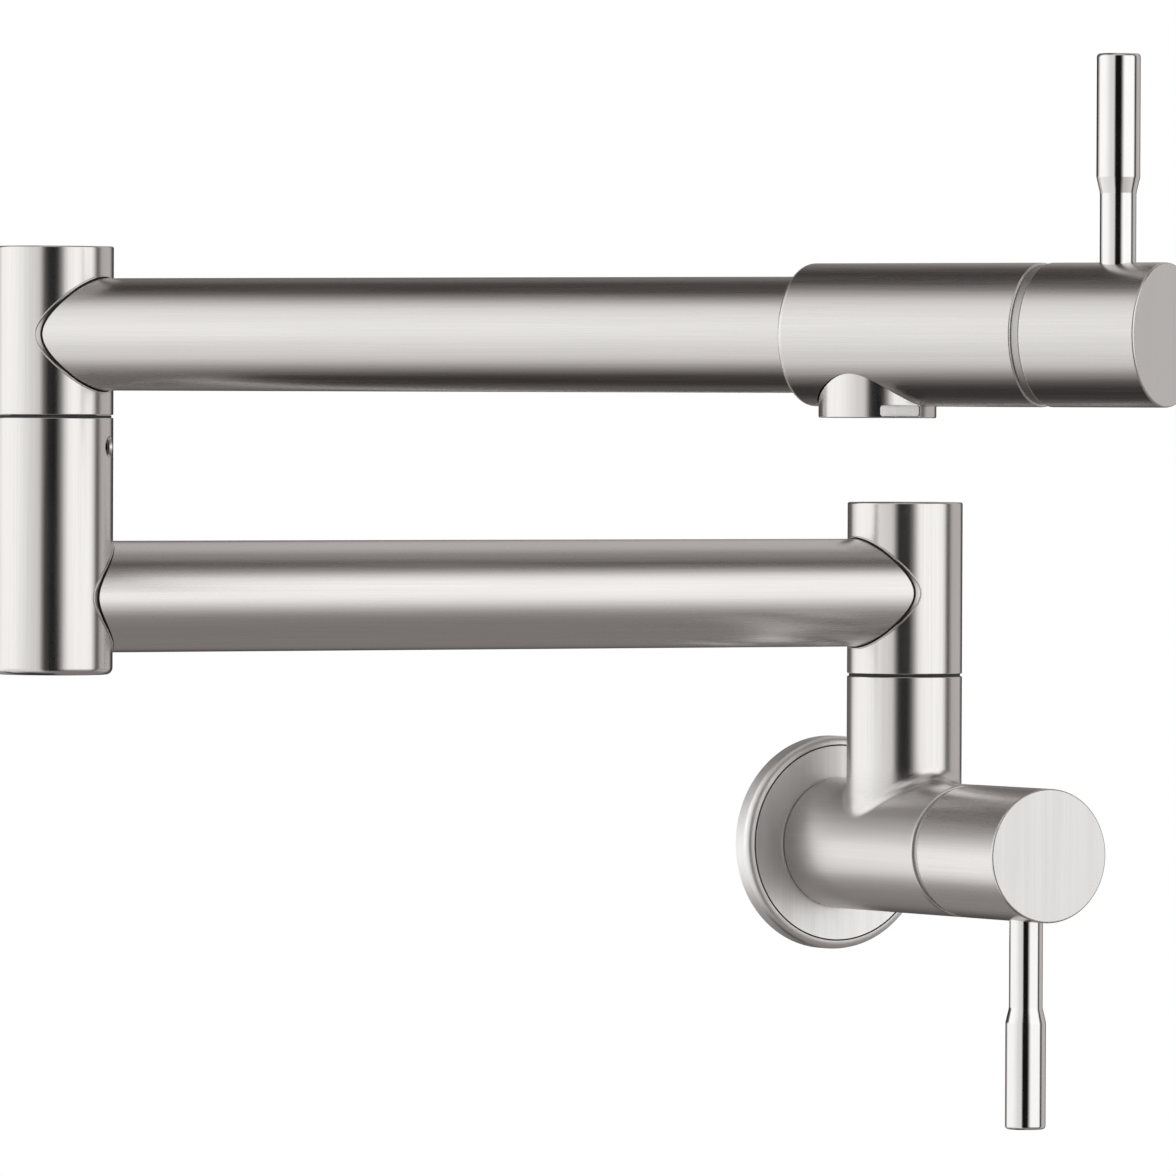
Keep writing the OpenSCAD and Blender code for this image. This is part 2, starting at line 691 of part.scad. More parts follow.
// Lever: a turned rod whose thread passes through the cap and grips the stem
module lever(lever_at, length, grip_len) {
    tip = valve_r + length;
    grip_foot = tip - grip_len;
    grip_r = grip_d / 2;
    stem_r = lever_stem_d / 2;
    color(polished) translate([0, 0, lever_at]) rotate([-90, 0, 0]) rotate_extrude() polygon([
        [0, drive_r + fit_clear], [lever_thread_r, drive_r + fit_clear],
        [lever_thread_r, valve_r - lever_seat], [stem_r, valve_r - lever_seat],
        [stem_r, grip_foot - lever_cone_len], [grip_r, grip_foot],
        [grip_r, tip - edge_chamfer], [grip_r - edge_chamfer, tip], [0, tip]
    ]);
}

inlet_lever_at = cap_back + inlet_cap_len - inlet_lever_in;
outlet_lever_at = cap_back + outlet_cap_len - outlet_lever_in;

// The inlet's lever hangs down and the outlet's stands up, each with its own valve shut
module inlet_disc_seal() at_inlet_seat() disc_seal();
module inlet_fixed_disc() at_inlet_seat() fixed_disc();
module inlet_moving_disc() at_inlet_seat() moving_disc();
module inlet_bonnet() at_inlet_seat() bonnet();
module inlet_stem() at_inlet_seat() cartridge_stem(inlet_lever_at);
module inlet_stem_ring() at_inlet_seat() stem_ring();
module inlet_slip_ring() at_inlet_seat() slip_ring();
module inlet_cap() at_inlet_seat() rotate([0, 0, 180]) cap(inlet_cap_len, inlet_lever_in);
module inlet_lever() at_inlet_seat() rotate([0, 0, 180]) lever(inlet_lever_at, inlet_lever_len, inlet_grip_len);

module outlet_disc_seal() at_outlet_seat() disc_seal();
module outlet_fixed_disc() at_outlet_seat() fixed_disc();
module outlet_moving_disc() at_outlet_seat() moving_disc();
module outlet_bonnet() at_outlet_seat() bonnet();
module outlet_stem() at_outlet_seat() cartridge_stem(outlet_lever_at);
module outlet_stem_ring() at_outlet_seat() stem_ring();
module outlet_slip_ring() at_outlet_seat() slip_ring();
module outlet_cap() at_outlet_seat() cap(outlet_cap_len, outlet_lever_in);
module outlet_lever() at_outlet_seat() lever(outlet_lever_at, outlet_lever_len, outlet_grip_len);

wall_flange();
wall_gasket();
inlet_nipple();
inlet_washer();
inlet_valve_body();
inlet_disc_seal();
inlet_fixed_disc();
inlet_bonnet();
inlet_slip_ring();
shoulder_glide_washer();
shoulder_set_screw();
inlet_moving_disc();
inlet_stem();
inlet_stem_ring();
inlet_cap();
inlet_lever();
shoulder_spigot();
shoulder_o_rings();
shoulder_knuckle();
lower_arm_tube();
elbow_post();
elbow_glide_washer();
elbow_set_screw();
elbow_spigot();
elbow_o_rings();
elbow_knuckle();
upper_arm_tube();
outlet_valve_body();
outlet_disc_seal();
outlet_fixed_disc();
outlet_bonnet();
outlet_slip_ring();
aerator_housing();
aerator_insert();
aerator_washer();
outlet_moving_disc();
outlet_stem();
outlet_stem_ring();
outlet_cap();
outlet_lever();
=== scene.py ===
import json
import math

import bmesh
import bpy
from mathutils import Euler, Matrix, Vector


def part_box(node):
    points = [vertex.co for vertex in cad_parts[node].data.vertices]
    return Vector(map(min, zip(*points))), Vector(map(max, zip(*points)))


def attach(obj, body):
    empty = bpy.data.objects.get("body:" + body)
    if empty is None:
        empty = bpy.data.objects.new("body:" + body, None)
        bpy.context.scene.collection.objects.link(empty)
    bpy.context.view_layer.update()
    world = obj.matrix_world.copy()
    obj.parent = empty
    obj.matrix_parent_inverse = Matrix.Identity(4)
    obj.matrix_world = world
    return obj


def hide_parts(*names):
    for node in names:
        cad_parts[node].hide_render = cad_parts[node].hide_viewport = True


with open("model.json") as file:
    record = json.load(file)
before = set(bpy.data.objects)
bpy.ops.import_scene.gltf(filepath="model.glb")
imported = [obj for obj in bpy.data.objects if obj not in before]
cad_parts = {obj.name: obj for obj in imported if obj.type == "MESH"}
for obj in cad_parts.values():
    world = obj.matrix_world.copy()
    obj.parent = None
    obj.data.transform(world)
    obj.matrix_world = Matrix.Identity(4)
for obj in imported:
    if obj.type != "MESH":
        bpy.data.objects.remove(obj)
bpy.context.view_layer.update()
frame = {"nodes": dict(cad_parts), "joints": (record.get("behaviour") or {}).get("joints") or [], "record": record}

# Cover plate: a round pressed plate of brushed stainless steel, which hides the hole in the wall.
# It is turned with a rounded front rim and a recess for its gasket, and the valve's neck holds it.
MM = 0.001
plate_low, plate_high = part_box("wall_flange")
gasket_low, gasket_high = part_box("wall_gasket")
plate_r = (plate_high.x - plate_low.x) / 2
plate_t = -plate_low.y
recess_r = (gasket_high.x - gasket_low.x) / 2
recess_t = -gasket_low.y
plate_bore_r = 14.06 * MM
plate_rim = 2.2 * MM
plate_edge = 0.4 * MM
rim_line_w, rim_line_depth = 0.4 * MM, 0.35 * MM
face_r = plate_r - plate_rim
same_point = 0.001 * MM
SEGMENTS = 128


def deselect():
    if bpy.context.object and bpy.context.object.mode != "OBJECT":
        bpy.ops.object.mode_set(mode="OBJECT")
    bpy.ops.object.select_all(action="DESELECT")


def pick(piece):
    """Selects this piece alone, for the operators that follow."""
    deselect()
    piece.select_set(True)
    bpy.context.view_layer.objects.active = piece


def place(piece, frame_of_piece):
    """Puts the finished piece where it belongs and leaves its object at the origin."""
    piece.matrix_world = frame_of_piece
    pick(piece)
    bpy.ops.object.transform_apply(location=True, rotation=True, scale=True)


def finish_surface(piece, sharp_deg=40):
    """Smooth faces with flat faces kept flat, as a turned and brushed piece has."""
    pick(piece)
    bpy.ops.object.shade_smooth_by_angle(angle=math.radians(sharp_deg))
    bpy.ops.object.modifier_add(type="WEIGHTED_NORMAL")
    piece.modifiers[-1].keep_sharp = True
    bpy.ops.object.modifier_apply(modifier=piece.modifiers[-1].name)


def turned(name, outline, segments=SEGMENTS):
    """A piece turned on a lathe: the outline's points are (radius, place along Z)."""
    deselect()
    bpy.ops.mesh.primitive_plane_add(size=1)
    piece = bpy.context.object
    piece.name = piece.data.name = name
    bpy.ops.object.mode_set(mode="EDIT")
    bpy.ops.mesh.merge(type="CENTER")
    bpy.ops.transform.translate(value=(outline[0][0], 0, outline[0][1]))
    for (r0, z0), (r1, z1) in zip(outline, outline[1:]):
        bpy.ops.mesh.extrude_region_move(TRANSFORM_OT_translate={"value": (r1 - r0, 0, z1 - z0)})
    bpy.ops.mesh.select_all(action="SELECT")
    bpy.ops.mesh.spin(steps=segments, angle=math.tau, center=(0, 0, 0), axis=(0, 0, 1))
    bpy.ops.mesh.select_all(action="SELECT")
    bpy.ops.mesh.remove_doubles(threshold=same_point)
    bpy.ops.mesh.normals_make_consistent(inside=False)
    bpy.ops.object.mode_set(mode="OBJECT")
    return piece


def rounded(corner, radius, first_deg, last_deg, steps=6):
    """Points of a rounded edge about its centre, from one angle to another."""
    centre_r, centre_z = corner
    return [
        (
            centre_r + radius * math.cos(math.radians(first_deg + (last_deg - first_deg) * i / steps)),
            centre_z + radius * math.sin(math.radians(first_deg + (last_deg - first_deg) * i / steps)),
        )
        for i in range(steps + 1)
    ]


# Pieces on the inlet are turned along Z, and then Z is laid out of the wall
out_of_wall = Matrix.Rotation(math.radians(90), 4, "X")
cover_plate = turned("cover_plate", [
    (plate_bore_r, recess_t),
    (recess_r, recess_t),
    (recess_r, 0),
    (plate_r - plate_edge, 0),
    (plate_r, plate_edge),
    *rounded((face_r, plate_t - plate_rim), plate_rim, 0, 90),
    (face_r, plate_t - rim_line_depth),
    (face_r - rim_line_w, plate_t - rim_line_depth),
    (face_r - rim_line_w, plate_t),
    (plate_bore_r, plate_t),
    (plate_bore_r, recess_t),
])
place(cover_plate, out_of_wall)


def brushed_group():
    """Brushing marks: fine lines along X, with broader soft streaks under them."""
    broad_share = 0.35
    group = bpy.data.node_groups.new("brushing_marks", "ShaderNodeTree")
    for name, kind in (("Vector", "NodeSocketVector"), ("Fineness", "NodeSocketFloat")):
        group.interface.new_socket(name, in_out="INPUT", socket_type=kind)
    for name in ("Fine", "Broad", "Height"):
        group.interface.new_socket(name, in_out="OUTPUT", socket_type="NodeSocketFloat")
    nodes, link = group.nodes, group.links.new
    entry, leave = nodes.new("NodeGroupInput"), nodes.new("NodeGroupOutput")
    layers = (
        ("Fine", (0.006, 1.0, 1.0), 3),
        ("Broad", (0.005, 0.2, 0.2), 2),
    )
    made = {}
    for name, stretch, detail in layers:
        squeeze = nodes.new("ShaderNodeVectorMath")
        squeeze.operation = "MULTIPLY"
        squeeze.inputs[1].default_value = stretch
        noise = nodes.new("ShaderNodeTexNoise")
        noise.inputs["Detail"].default_value = detail
        noise.inputs["Roughness"].default_value = 0.6
        link(entry.outputs["Vector"], squeeze.inputs[0])
        link(squeeze.outputs["Vector"], noise.inputs["Vector"])
        link(entry.outputs["Fineness"], noise.inputs["Scale"])
        link(noise.outputs["Fac"], leave.inputs[name])
        made[name] = noise
    both = nodes.new("ShaderNodeMath")
    both.operation = "MULTIPLY_ADD"
    both.inputs[1].default_value = broad_share
    link(made["Broad"].outputs["Fac"], both.inputs[0])
    link(made["Fine"].outputs["Fac"], both.inputs[2])
    link(both.outputs["Value"], leave.inputs["Height"])
    return group


brushing_marks = brushed_group()


def brushed_steel(
    name, grain_turn, dark=(0.62, 0.605, 0.592), pale=(0.74, 0.726, 0.714), rough=(0.25, 0.3),
):
    """Brushed stainless steel, its grain turned from X by grain_turn degrees about X, Y and Z."""
    material = bpy.data.materials.new(name)
    material.use_nodes = True
    nodes, link = material.node_tree.nodes, material.node_tree.links.new
    shader = nodes["Principled BSDF"]
    shader.inputs["Metallic"].default_value = 1.0
    place_on = nodes.new("ShaderNodeTexCoord")
    turn = nodes.new("ShaderNodeMapping")
    turn.inputs["Rotation"].default_value = [math.radians(deg) for deg in grain_turn]
    marks = nodes.new("ShaderNodeGroup")
    marks.node_tree = brushing_marks
    marks.inputs["Fineness"].default_value = 2600
    tone = nodes.new("ShaderNodeMix")
    tone.data_type = "RGBA"
    tone.inputs["A"].default_value = (*dark, 1)
    tone.inputs["B"].default_value = (*pale, 1)
    gloss = nodes.new("ShaderNodeMapRange")
    gloss.inputs["From Min"].default_value = 0.3
    gloss.inputs["From Max"].default_value = 0.7
    gloss.inputs["To Min"].default_value = rough[0]
    gloss.inputs["To Max"].default_value = rough[1]
    bump = nodes.new("ShaderNodeBump")
    bump.inputs["Strength"].default_value = 0.12
    bump.inputs["Distance"].default_value = 0.02 * MM
    link(place_on.outputs["Object"], turn.inputs["Vector"])
    link(turn.outputs["Vector"], marks.inputs["Vector"])
    link(marks.outputs["Fine"], tone.inputs["Factor"])
    link(tone.outputs["Result"], shader.inputs["Base Color"])
    link(marks.outputs["Broad"], gloss.inputs["Value"])
    link(gloss.outputs["Result"], shader.inputs["Roughness"])
    link(marks.outputs["Height"], bump.inputs["Height"])
    link(bump.outputs["Normal"], shader.inputs["Normal"])
    return material


def dress(piece, material):
    """Gives the piece one finish all over."""
    piece.data.materials.clear()
    piece.data.materials.append(material)


def on_body(piece, node):
    """Rides on the body that holds the CAD node, which the piece stands for."""
    body = next(b for b, names in frame["record"]["behaviour"]["bodies"].items() if node in names)
    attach(piece, body)
    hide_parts(node)


# The plate's own grain, and painted shade: a near-black steel laid on narrow grooves, pockets and seams, where it
# stands in for the shade in them
steel_plate = brushed_steel(
    "brushed_steel_plate", (0, 90, 0), dark=(0.76, 0.75, 0.74), pale=(0.95, 0.94, 0.93), rough=(0.4, 0.46),
)
painted_shade_steel = brushed_steel(
    "painted_shade_near_black", (0, 90, 0), dark=(0.02, 0.019, 0.018), pale=(0.05, 0.047, 0.045), rough=(0.5, 0.6),
)
dress(cover_plate, steel_plate)
cover_plate.data.materials.append(painted_shade_steel)
# Painted shade: the fine groove just inside the rim gets the near-black steel, for the shade in the groove
for face in cover_plate.data.polygons:
    in_shaded_groove = face_r - rim_line_w <= math.hypot(face.center.x, face.center.z) <= face_r
    if in_shaded_groove and -plate_t < face.center.y < -plate_t / 2:
        face.material_index = 1
finish_surface(cover_plate)
on_body(cover_plate, "wall_flange")

# Supply nipple: a brass double nipple with a rolled half inch thread on its wall end and another inside
# the valve. A plain groove parts the two threads, and a hexagon in the bore tightens it.
nipple_low, nipple_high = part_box("inlet_nipple")
thread_r = (nipple_high.x - nipple_low.x) / 2
thread_pitch = 1.814 * MM
thread_depth = 1.16 * MM
root_r = thread_r - thread_depth
nipple_bore_r = 5.75 * MM
ends = (-nipple_high.y, -nipple_low.y)
groove = (0.5 * MM, 3.0 * MM)
lead_in = 0.8 * MM
ridge_foot, ridge_top = 0.45 * thread_pitch, 0.12 * thread_pitch
ridge_sunk = 0.08 * MM
thread_steps = 48
hexagon_w = 12.0 * MM
hexagon_at = 7.5 * MM


def material_of(name, colours, roughness, scale, metallic=0.0, stretch=(1, 1, 1), bump_mm=0.0, coat=0.0):
    """A finish whose colour, gloss and surface follow one noise of the given fineness."""
    material = bpy.data.materials.new(name)
    material.use_nodes = True
    nodes, link = material.node_tree.nodes, material.node_tree.links.new
    shader = nodes["Principled BSDF"]
    shader.inputs["Metallic"].default_value = metallic
    shader.inputs["Coat Weight"].default_value = coat
    place_on = nodes.new("ShaderNodeTexCoord")
    squeeze = nodes.new("ShaderNodeMapping")
    squeeze.inputs["Scale"].default_value = stretch
    noise = nodes.new("ShaderNodeTexNoise")
    noise.inputs["Scale"].default_value = scale
    noise.inputs["Detail"].default_value = 4
    tone = nodes.new("ShaderNodeMix")
    tone.data_type = "RGBA"
    tone.inputs["A"].default_value = (*colours[0], 1)
    tone.inputs["B"].default_value = (*colours[1], 1)
    gloss = nodes.new("ShaderNodeMapRange")
    gloss.inputs["From Min"].default_value = 0.3
    gloss.inputs["From Max"].default_value = 0.7
    gloss.inputs["To Min"].default_value = roughness[0]
    gloss.inputs["To Max"].default_value = roughness[1]
    link(place_on.outputs["Object"], squeeze.inputs["Vector"])
    link(squeeze.outputs["Vector"], noise.inputs["Vector"])
    link(noise.outputs["Fac"], tone.inputs["Factor"])
    link(tone.outputs["Result"], shader.inputs["Base Color"])
    link(noise.outputs["Fac"], gloss.inputs["Value"])
    link(gloss.outputs["Result"], shader.inputs["Roughness"])
    if bump_mm:
        bump = nodes.new("ShaderNodeBump")
        bump.inputs["Strength"].default_value = 0.4
        bump.inputs["Distance"].default_value = bump_mm * MM
        link(noise.outputs["Fac"], bump.inputs["Height"])
        link(bump.outputs["Normal"], shader.inputs["Normal"])
    return material


brass = material_of(
    "machined_brass", ((0.70, 0.52, 0.24), (0.83, 0.66, 0.36)), (0.22, 0.36), 900,
    metallic=1.0, stretch=(1, 6, 1), bump_mm=0.02,
)
supply_nipple = turned("supply_nipple", [
    (nipple_bore_r, ends[0]),
    (root_r - lead_in / 2, ends[0]),
    (root_r, ends[0] + lead_in),
    (root_r, ends[1]),
    (nipple_bore_r, ends[1]),
    (nipple_bore_r, ends[0]),
])


def thread(name, start, end):
    """One helical ridge with closed ends, sunk a little into its core."""
    deselect()
    bpy.ops.mesh.primitive_plane_add(size=1)
    ridge = bpy.context.object
    ridge.name = ridge.data.name = name
    corners = (
        (root_r - ridge_sunk, start), (thread_r, start + ridge_foot - ridge_top),
        (thread_r, start + ridge_foot + ridge_top), (root_r - ridge_sunk, start + 2 * ridge_foot),
    )
    order = (0, 1, 3, 2)
    for corner, vertex in zip(corners, order):
        ridge.data.vertices[vertex].co = (corner[0], 0, corner[1])
    bpy.ops.object.mode_set(mode="EDIT")
    bpy.ops.mesh.select_all(action="SELECT")
    bpy.ops.mesh.delete(type="ONLY_FACE")
    bpy.ops.object.mode_set(mode="OBJECT")
    bpy.ops.object.modifier_add(type="SCREW")
    screw = ridge.modifiers[-1]
    screw.screw_offset = thread_pitch
    screw.iterations = int((end - start) / thread_pitch - 1)
    screw.steps = screw.render_steps = thread_steps
    screw.use_merge_vertices = False
    bpy.ops.object.modifier_apply(modifier=screw.name)
    bpy.ops.object.mode_set(mode="EDIT")
    bpy.ops.mesh.select_all(action="SELECT")
    bpy.ops.mesh.fill_holes(sides=0)
    bpy.ops.mesh.select_all(action="SELECT")
    bpy.ops.mesh.normals_make_consistent(inside=False)
    bpy.ops.object.mode_set(mode="OBJECT")
    return ridge


ridges = [
    thread("wall_thread", ends[0] + lead_in, groove[0]),
    thread("body_thread", groove[1], ends[1]),
]


def cut_with(piece, cutter):
    """Cuts the cutter's shape out of the piece, and throws the cutter away."""
    pick(piece)
    bpy.ops.object.modifier_add(type="BOOLEAN")
    cut = piece.modifiers[-1]
    cut.operation = "DIFFERENCE"
    cut.solver = "EXACT"
    cut.object = cutter
    bpy.ops.object.modifier_apply(modifier=cut.name)
    bpy.data.objects.remove(cutter)


deselect()
bpy.ops.mesh.primitive_circle_add(vertices=6, radius=hexagon_w / math.sqrt(3), fill_type="NGON")
hexagon = bpy.context.object
bpy.ops.object.mode_set(mode="EDIT")
bpy.ops.transform.translate(value=(0, 0, hexagon_at))
bpy.ops.mesh.extrude_region_move(TRANSFORM_OT_translate={"value": (0, 0, ends[1])})
bpy.ops.mesh.select_all(action="SELECT")
bpy.ops.mesh.normals_make_consistent(inside=False)
bpy.ops.object.mode_set(mode="OBJECT")
cut_with(supply_nipple, hexagon)
deselect()
for piece in (*ridges, supply_nipple):
    piece.select_set(True)
bpy.context.view_layer.objects.active = supply_nipple
bpy.ops.object.join()
place(supply_nipple, out_of_wall)
finish_surface(supply_nipple, sharp_deg=30)
dress(supply_nipple, brass)
on_body(supply_nipple, "inlet_nipple")

# Inlet valve body: one casting of stainless steel, turned and brushed, with the riser standing on it.
# A rolling ball's blend joins the two. The body is bored for the nipple and the cartridge, the riser for
# the swivel spigot.
body_low, body_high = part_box("inlet_valve_body")
body_r = body_high.x
body_front = -body_low.y
body_back = plate_t
neck_back = -body_high.y
neck_r = 14.0 * MM
riser_r = 15.25 * MM
riser_top = body_high.z
blend_r = 4.0 * MM
body_edge = 0.5 * MM
undercut_w = 0.4 * MM
undercut_depth = 1.0 * MM
near = body_back + undercut_w + body_edge
far = body_front - body_edge
bonnet_r = 12.0 * MM
seat_at = 44.1 * MM
water_r = 6.5 * MM
socket_end = 15.5 * MM
thread_play = 0.03 * MM
socket_r = thread_r + thread_play
swivel_bore_r = 11.0 * MM
swivel_bore_foot = 18.9 * MM
riser_edge = 0.3 * MM
QUARTER = 48

# The two upright swivel axes, as the record gives them
joints = {joint["name"]: joint for joint in frame["joints"]}
shoulder = Vector(joints["shoulder_swivel"]["pos_m"])
elbow = Vector(joints["elbow_swivel"]["pos_m"])


def body_point(beta, along, radius=body_r):
    """A point on the body: beta is 0 at the top, and along is counted from the wall."""
    return Vector((radius * math.sin(beta), -along, radius * math.cos(beta)))


def riser_ring(radius, height):
    """A ring of points round the riser."""
    turns = [math.tau * i / (4 * QUARTER) for i in range(4 * QUARTER)]
    return [
        Vector((radius * math.cos(phi), shoulder.y + radius * math.sin(phi), height)) for phi in turns
    ]


def blend_row(share):
    """One row round the riser's foot, from the riser at share 0 to the body at share 1."""
    row = []
    for i in range(4 * QUARTER):
        phi = math.tau * i / (4 * QUARTER)
        reach = riser_r + blend_r
        x = reach * math.cos(phi)
        z = math.sqrt((body_r + blend_r) ** 2 - x * x)
        to_riser = Vector((-math.cos(phi), -math.sin(phi), 0))
        to_body = Vector((-x, 0, -z)) / (body_r + blend_r)
        whole = to_riser.angle(to_body)
        way = (
            to_riser * math.sin(whole * (1 - share)) + to_body * math.sin(whole * share)
        ) / math.sin(whole)
        row.append(Vector((x, shoulder.y + reach * math.sin(phi), z)) + way * blend_r)
    return row


def outer_place(i):
    """Where the i-th line from the riser meets the edge of the body's upper half: (beta, along)."""
    side, step = divmod((i + QUARTER // 2) % (4 * QUARTER), QUARTER)
    share = step / QUARTER
    return (
        (math.pi / 2, far + (near - far) * share),
        (math.pi / 2 - math.pi * share, near),
        (-math.pi / 2, near + (far - near) * share),
        (-math.pi / 2 + math.pi * share, far),
    )[side]


def spread_row(share):
    """One row on the body's upper half, from the blend at share 0 to its edge at share 1."""
    row = []
    for i, foot in enumerate(blend_row(1)):
        beta, along = outer_place(i)
        foot_beta, foot_along = math.atan2(foot.x, foot.z), -foot.y
        row.append(body_point(
            foot_beta + (beta - foot_beta) * share,
            foot_along + (along - foot_along) * share,
        ))
    return row


def belly_row(step):
    """One row round the body's lower half, step by step along the body."""
    along = near + (far - near) * step / QUARTER
    return [body_point(math.pi / 2 + math.pi * j / QUARTER, along) for j in range(QUARTER + 1)]


def end_rows(outline):
    """Rings round the body's axis, each at a (radius, along)."""
    turns = [math.tau * i / (2 * QUARTER) for i in range(2 * QUARTER)]
    return [[body_point(beta, along, radius) for beta in turns] for radius, along in outline]


def add_rows(mesh, rows, closed=True):
    """Quads between rows of equal length."""
    made = [[mesh.verts.new(point) for point in row] for row in rows]
    for low, high in zip(made, made[1:]):
        for i in range(len(low) if closed else len(low) - 1):
            j = (i + 1) % len(low)
            mesh.faces.new((low[i], low[j], high[j], high[i]))


# No operator rolls a ball between two round bodies, so the casting's outside is laid in rows of points
side_shares = (0.33, 0.66)
blend_steps = 10
spread_steps = 14
riser_outline = [
    (0, swivel_bore_foot), (swivel_bore_r, swivel_bore_foot), (swivel_bore_r, riser_top),
    *reversed(rounded((riser_r - riser_edge, riser_top - riser_edge), riser_edge, 0, 90, 4)),
]
side_top, side_foot = riser_ring(riser_r, riser_top - riser_edge), blend_row(0)
mesh = bmesh.new()
add_rows(mesh, [
    *[riser_ring(radius, height) for radius, height in riser_outline],
    *[[top.lerp(foot, share) for top, foot in zip(side_top, side_foot)] for share in side_shares],
    *[blend_row(step / blend_steps) for step in range(blend_steps)],
    *[spread_row(step / spread_steps) for step in range(spread_steps + 1)],
])
add_rows(mesh, [belly_row(step) for step in range(QUARTER + 1)], closed=False)
add_rows(mesh, end_rows([
    *rounded((body_r - body_edge, far), body_edge, 0, 90, 4),
    (bonnet_r, body_front), (bonnet_r, seat_at), (water_r, seat_at), (water_r, socket_end),
    (socket_r, socket_end), (socket_r, neck_back), (neck_r, neck_back), (neck_r, body_back),
    (body_r - undercut_depth, body_back), (body_r - undercut_depth, near - body_edge),
    *rounded((body_r - body_edge, near), body_edge, -90, 0, 4),
]))
bmesh.ops.remove_doubles(mesh, verts=mesh.verts, dist=same_point)
bmesh.ops.recalc_face_normals(mesh, faces=mesh.faces)
inlet_body_mesh = bpy.data.meshes.new("inlet_body")
mesh.to_mesh(inlet_body_mesh)
mesh.free()
inlet_body = bpy.data.objects.new("inlet_body", inlet_body_mesh)
bpy.context.scene.collection.objects.link(inlet_body)


def screw_hole(piece, node):
    """The countersunk hole of a grub screw, on the line of the CAD screw."""
    low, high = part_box(node)
    middle = (low + high) / 2
    axis_point = shoulder if node.startswith("shoulder") else elbow
    way = Vector((middle.x - axis_point.x, middle.y - axis_point.y, 0)).normalized()
    screw_r, mouth_r, mouth, overrun = 2.05 * MM, 2.75 * MM, 0.75 * MM, 1.0 * MM
    cutter = turned("screw_hole", [
        (0, swivel_bore_r - overrun), (screw_r, swivel_bore_r - overrun), (screw_r, riser_r - mouth),
        (mouth_r + mouth, riser_r + mouth), (0, riser_r + mouth),
    ], segments=48)
    turn = way.to_track_quat("Z", "Y").to_matrix().to_4x4()
    place(cutter, Matrix.Translation((axis_point.x, axis_point.y, middle.z)) @ turn)
    cut_with(piece, cutter)


screw_hole(inlet_body, "shoulder_set_screw")
finish_surface(inlet_body, sharp_deg=35)


def blended_grain(name):
    """The body's own steel: grain along the body, upright and glossier on the riser."""
    riser_rough = 0.21
    blend_foot, blend_head = body_r - 2 * MM, body_r + blend_r
    material = brushed_steel(name, (0, 0, -90), rough=(0.31, 0.36))
    nodes, link = material.node_tree.nodes, material.node_tree.links.new
    coordinate = next(n for n in nodes if n.type == "TEX_COORD")
    along = next(n for n in nodes if n.type == "MAPPING")
    marks = next(n for n in nodes if n.type == "GROUP")
    up = nodes.new("ShaderNodeMapping")
    up.inputs["Rotation"].default_value = (0, math.radians(90), 0)
    parts = nodes.new("ShaderNodeSeparateXYZ")
    height = nodes.new("ShaderNodeMapRange")
    height.inputs["From Min"].default_value = blend_foot
    height.inputs["From Max"].default_value = blend_head
    blend = nodes.new("ShaderNodeMix")
    blend.data_type = "VECTOR"
    link(coordinate.outputs["Object"], up.inputs["Vector"])
    link(coordinate.outputs["Object"], parts.inputs["Vector"])
    link(parts.outputs["Z"], height.inputs["Value"])
    link(height.outputs["Result"], blend.inputs["Factor"])
    link(along.outputs["Vector"], blend.inputs["A"])
    link(up.outputs["Vector"], blend.inputs["B"])
    link(blend.outputs["Result"], marks.inputs["Vector"])
    shader = nodes["Principled BSDF"]
    rough_below = shader.inputs["Roughness"].links[0].from_socket
    rough = nodes.new("ShaderNodeMix")
    rough.data_type = "FLOAT"
    rough.inputs["B"].default_value = riser_rough
    link(height.outputs["Result"], rough.inputs["Factor"])
    link(rough_below, rough.inputs["A"])
    link(rough.outputs["Result"], shader.inputs["Roughness"])
    return material


dress(inlet_body, blended_grain("brushed_steel_inlet_body"))
on_body(inlet_body, "inlet_valve_body")

# Slip rings: a plain steel ring in the groove behind each cap, turned smaller than body and cap, so that
# the cap can turn without scraping.
ring_low, ring_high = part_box("inlet_slip_ring")
ring_lift = 0.45 * MM        # fuller than the CAD ring, so that its groove reads as one fine line
ring_r = (ring_high.x - ring_low.x) / 2 + ring_lift
ring_bore_r = 5.2 * MM
ring_ends = (-ring_high.y, -ring_low.y)
ring_edge = 0.15 * MM
ring_len = ring_ends[1] - ring_ends[0]

# The outlet's pieces are turned along Z too, and then Z is laid along the upper arm, with Y upward
spout_line = Vector(joints["outlet_valve_turn"]["pos_m"])
spout_way = Vector(joints["outlet_valve_turn"]["axis"]).normalized()
spout_turn = math.atan2(spout_way.y, spout_way.x)
along_upper_arm = (
    Matrix.Translation(spout_line)
    @ Matrix.Rotation(spout_turn, 4, "Z")
    @ Euler((math.radians(90), 0, math.radians(90))).to_matrix().to_4x4()
)


def reach_of(node):
    """How far along the upper arm the middle of a CAD node lies, from the elbow's axis."""
    low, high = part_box(node)
    middle = Vector(((low.x + high.x) / 2, (low.y + high.y) / 2, spout_line.z))
    return (middle - spout_line).length


outlet_front_at = reach_of("outlet_slip_ring") - ring_len / 2
# The rings get a steel darker and rougher than the body's and the caps', so that each reads as a grey band
darker_ring_steel = brushed_steel(
    "darker_ring_finish", (0, 90, 0), dark=(0.5, 0.49, 0.482), pale=(0.56, 0.55, 0.54), rough=(0.4, 0.46),
)
for name, node, start, frame_of_ring in (
    ("inlet_ring", "inlet_slip_ring", ring_ends[0], out_of_wall),
    ("outlet_ring", "outlet_slip_ring", outlet_front_at, along_upper_arm),
):
    end = start + ring_len
    piece = turned(name, [
        (ring_bore_r, start), (ring_r - ring_edge, start), (ring_r, start + ring_edge),
        (ring_r, end - ring_edge), (ring_r - ring_edge, end), (ring_bore_r, end), (ring_bore_r, start),
    ])
    place(piece, frame_of_ring)
    finish_surface(piece)
    dress(piece, darker_ring_steel)
    on_body(piece, node)

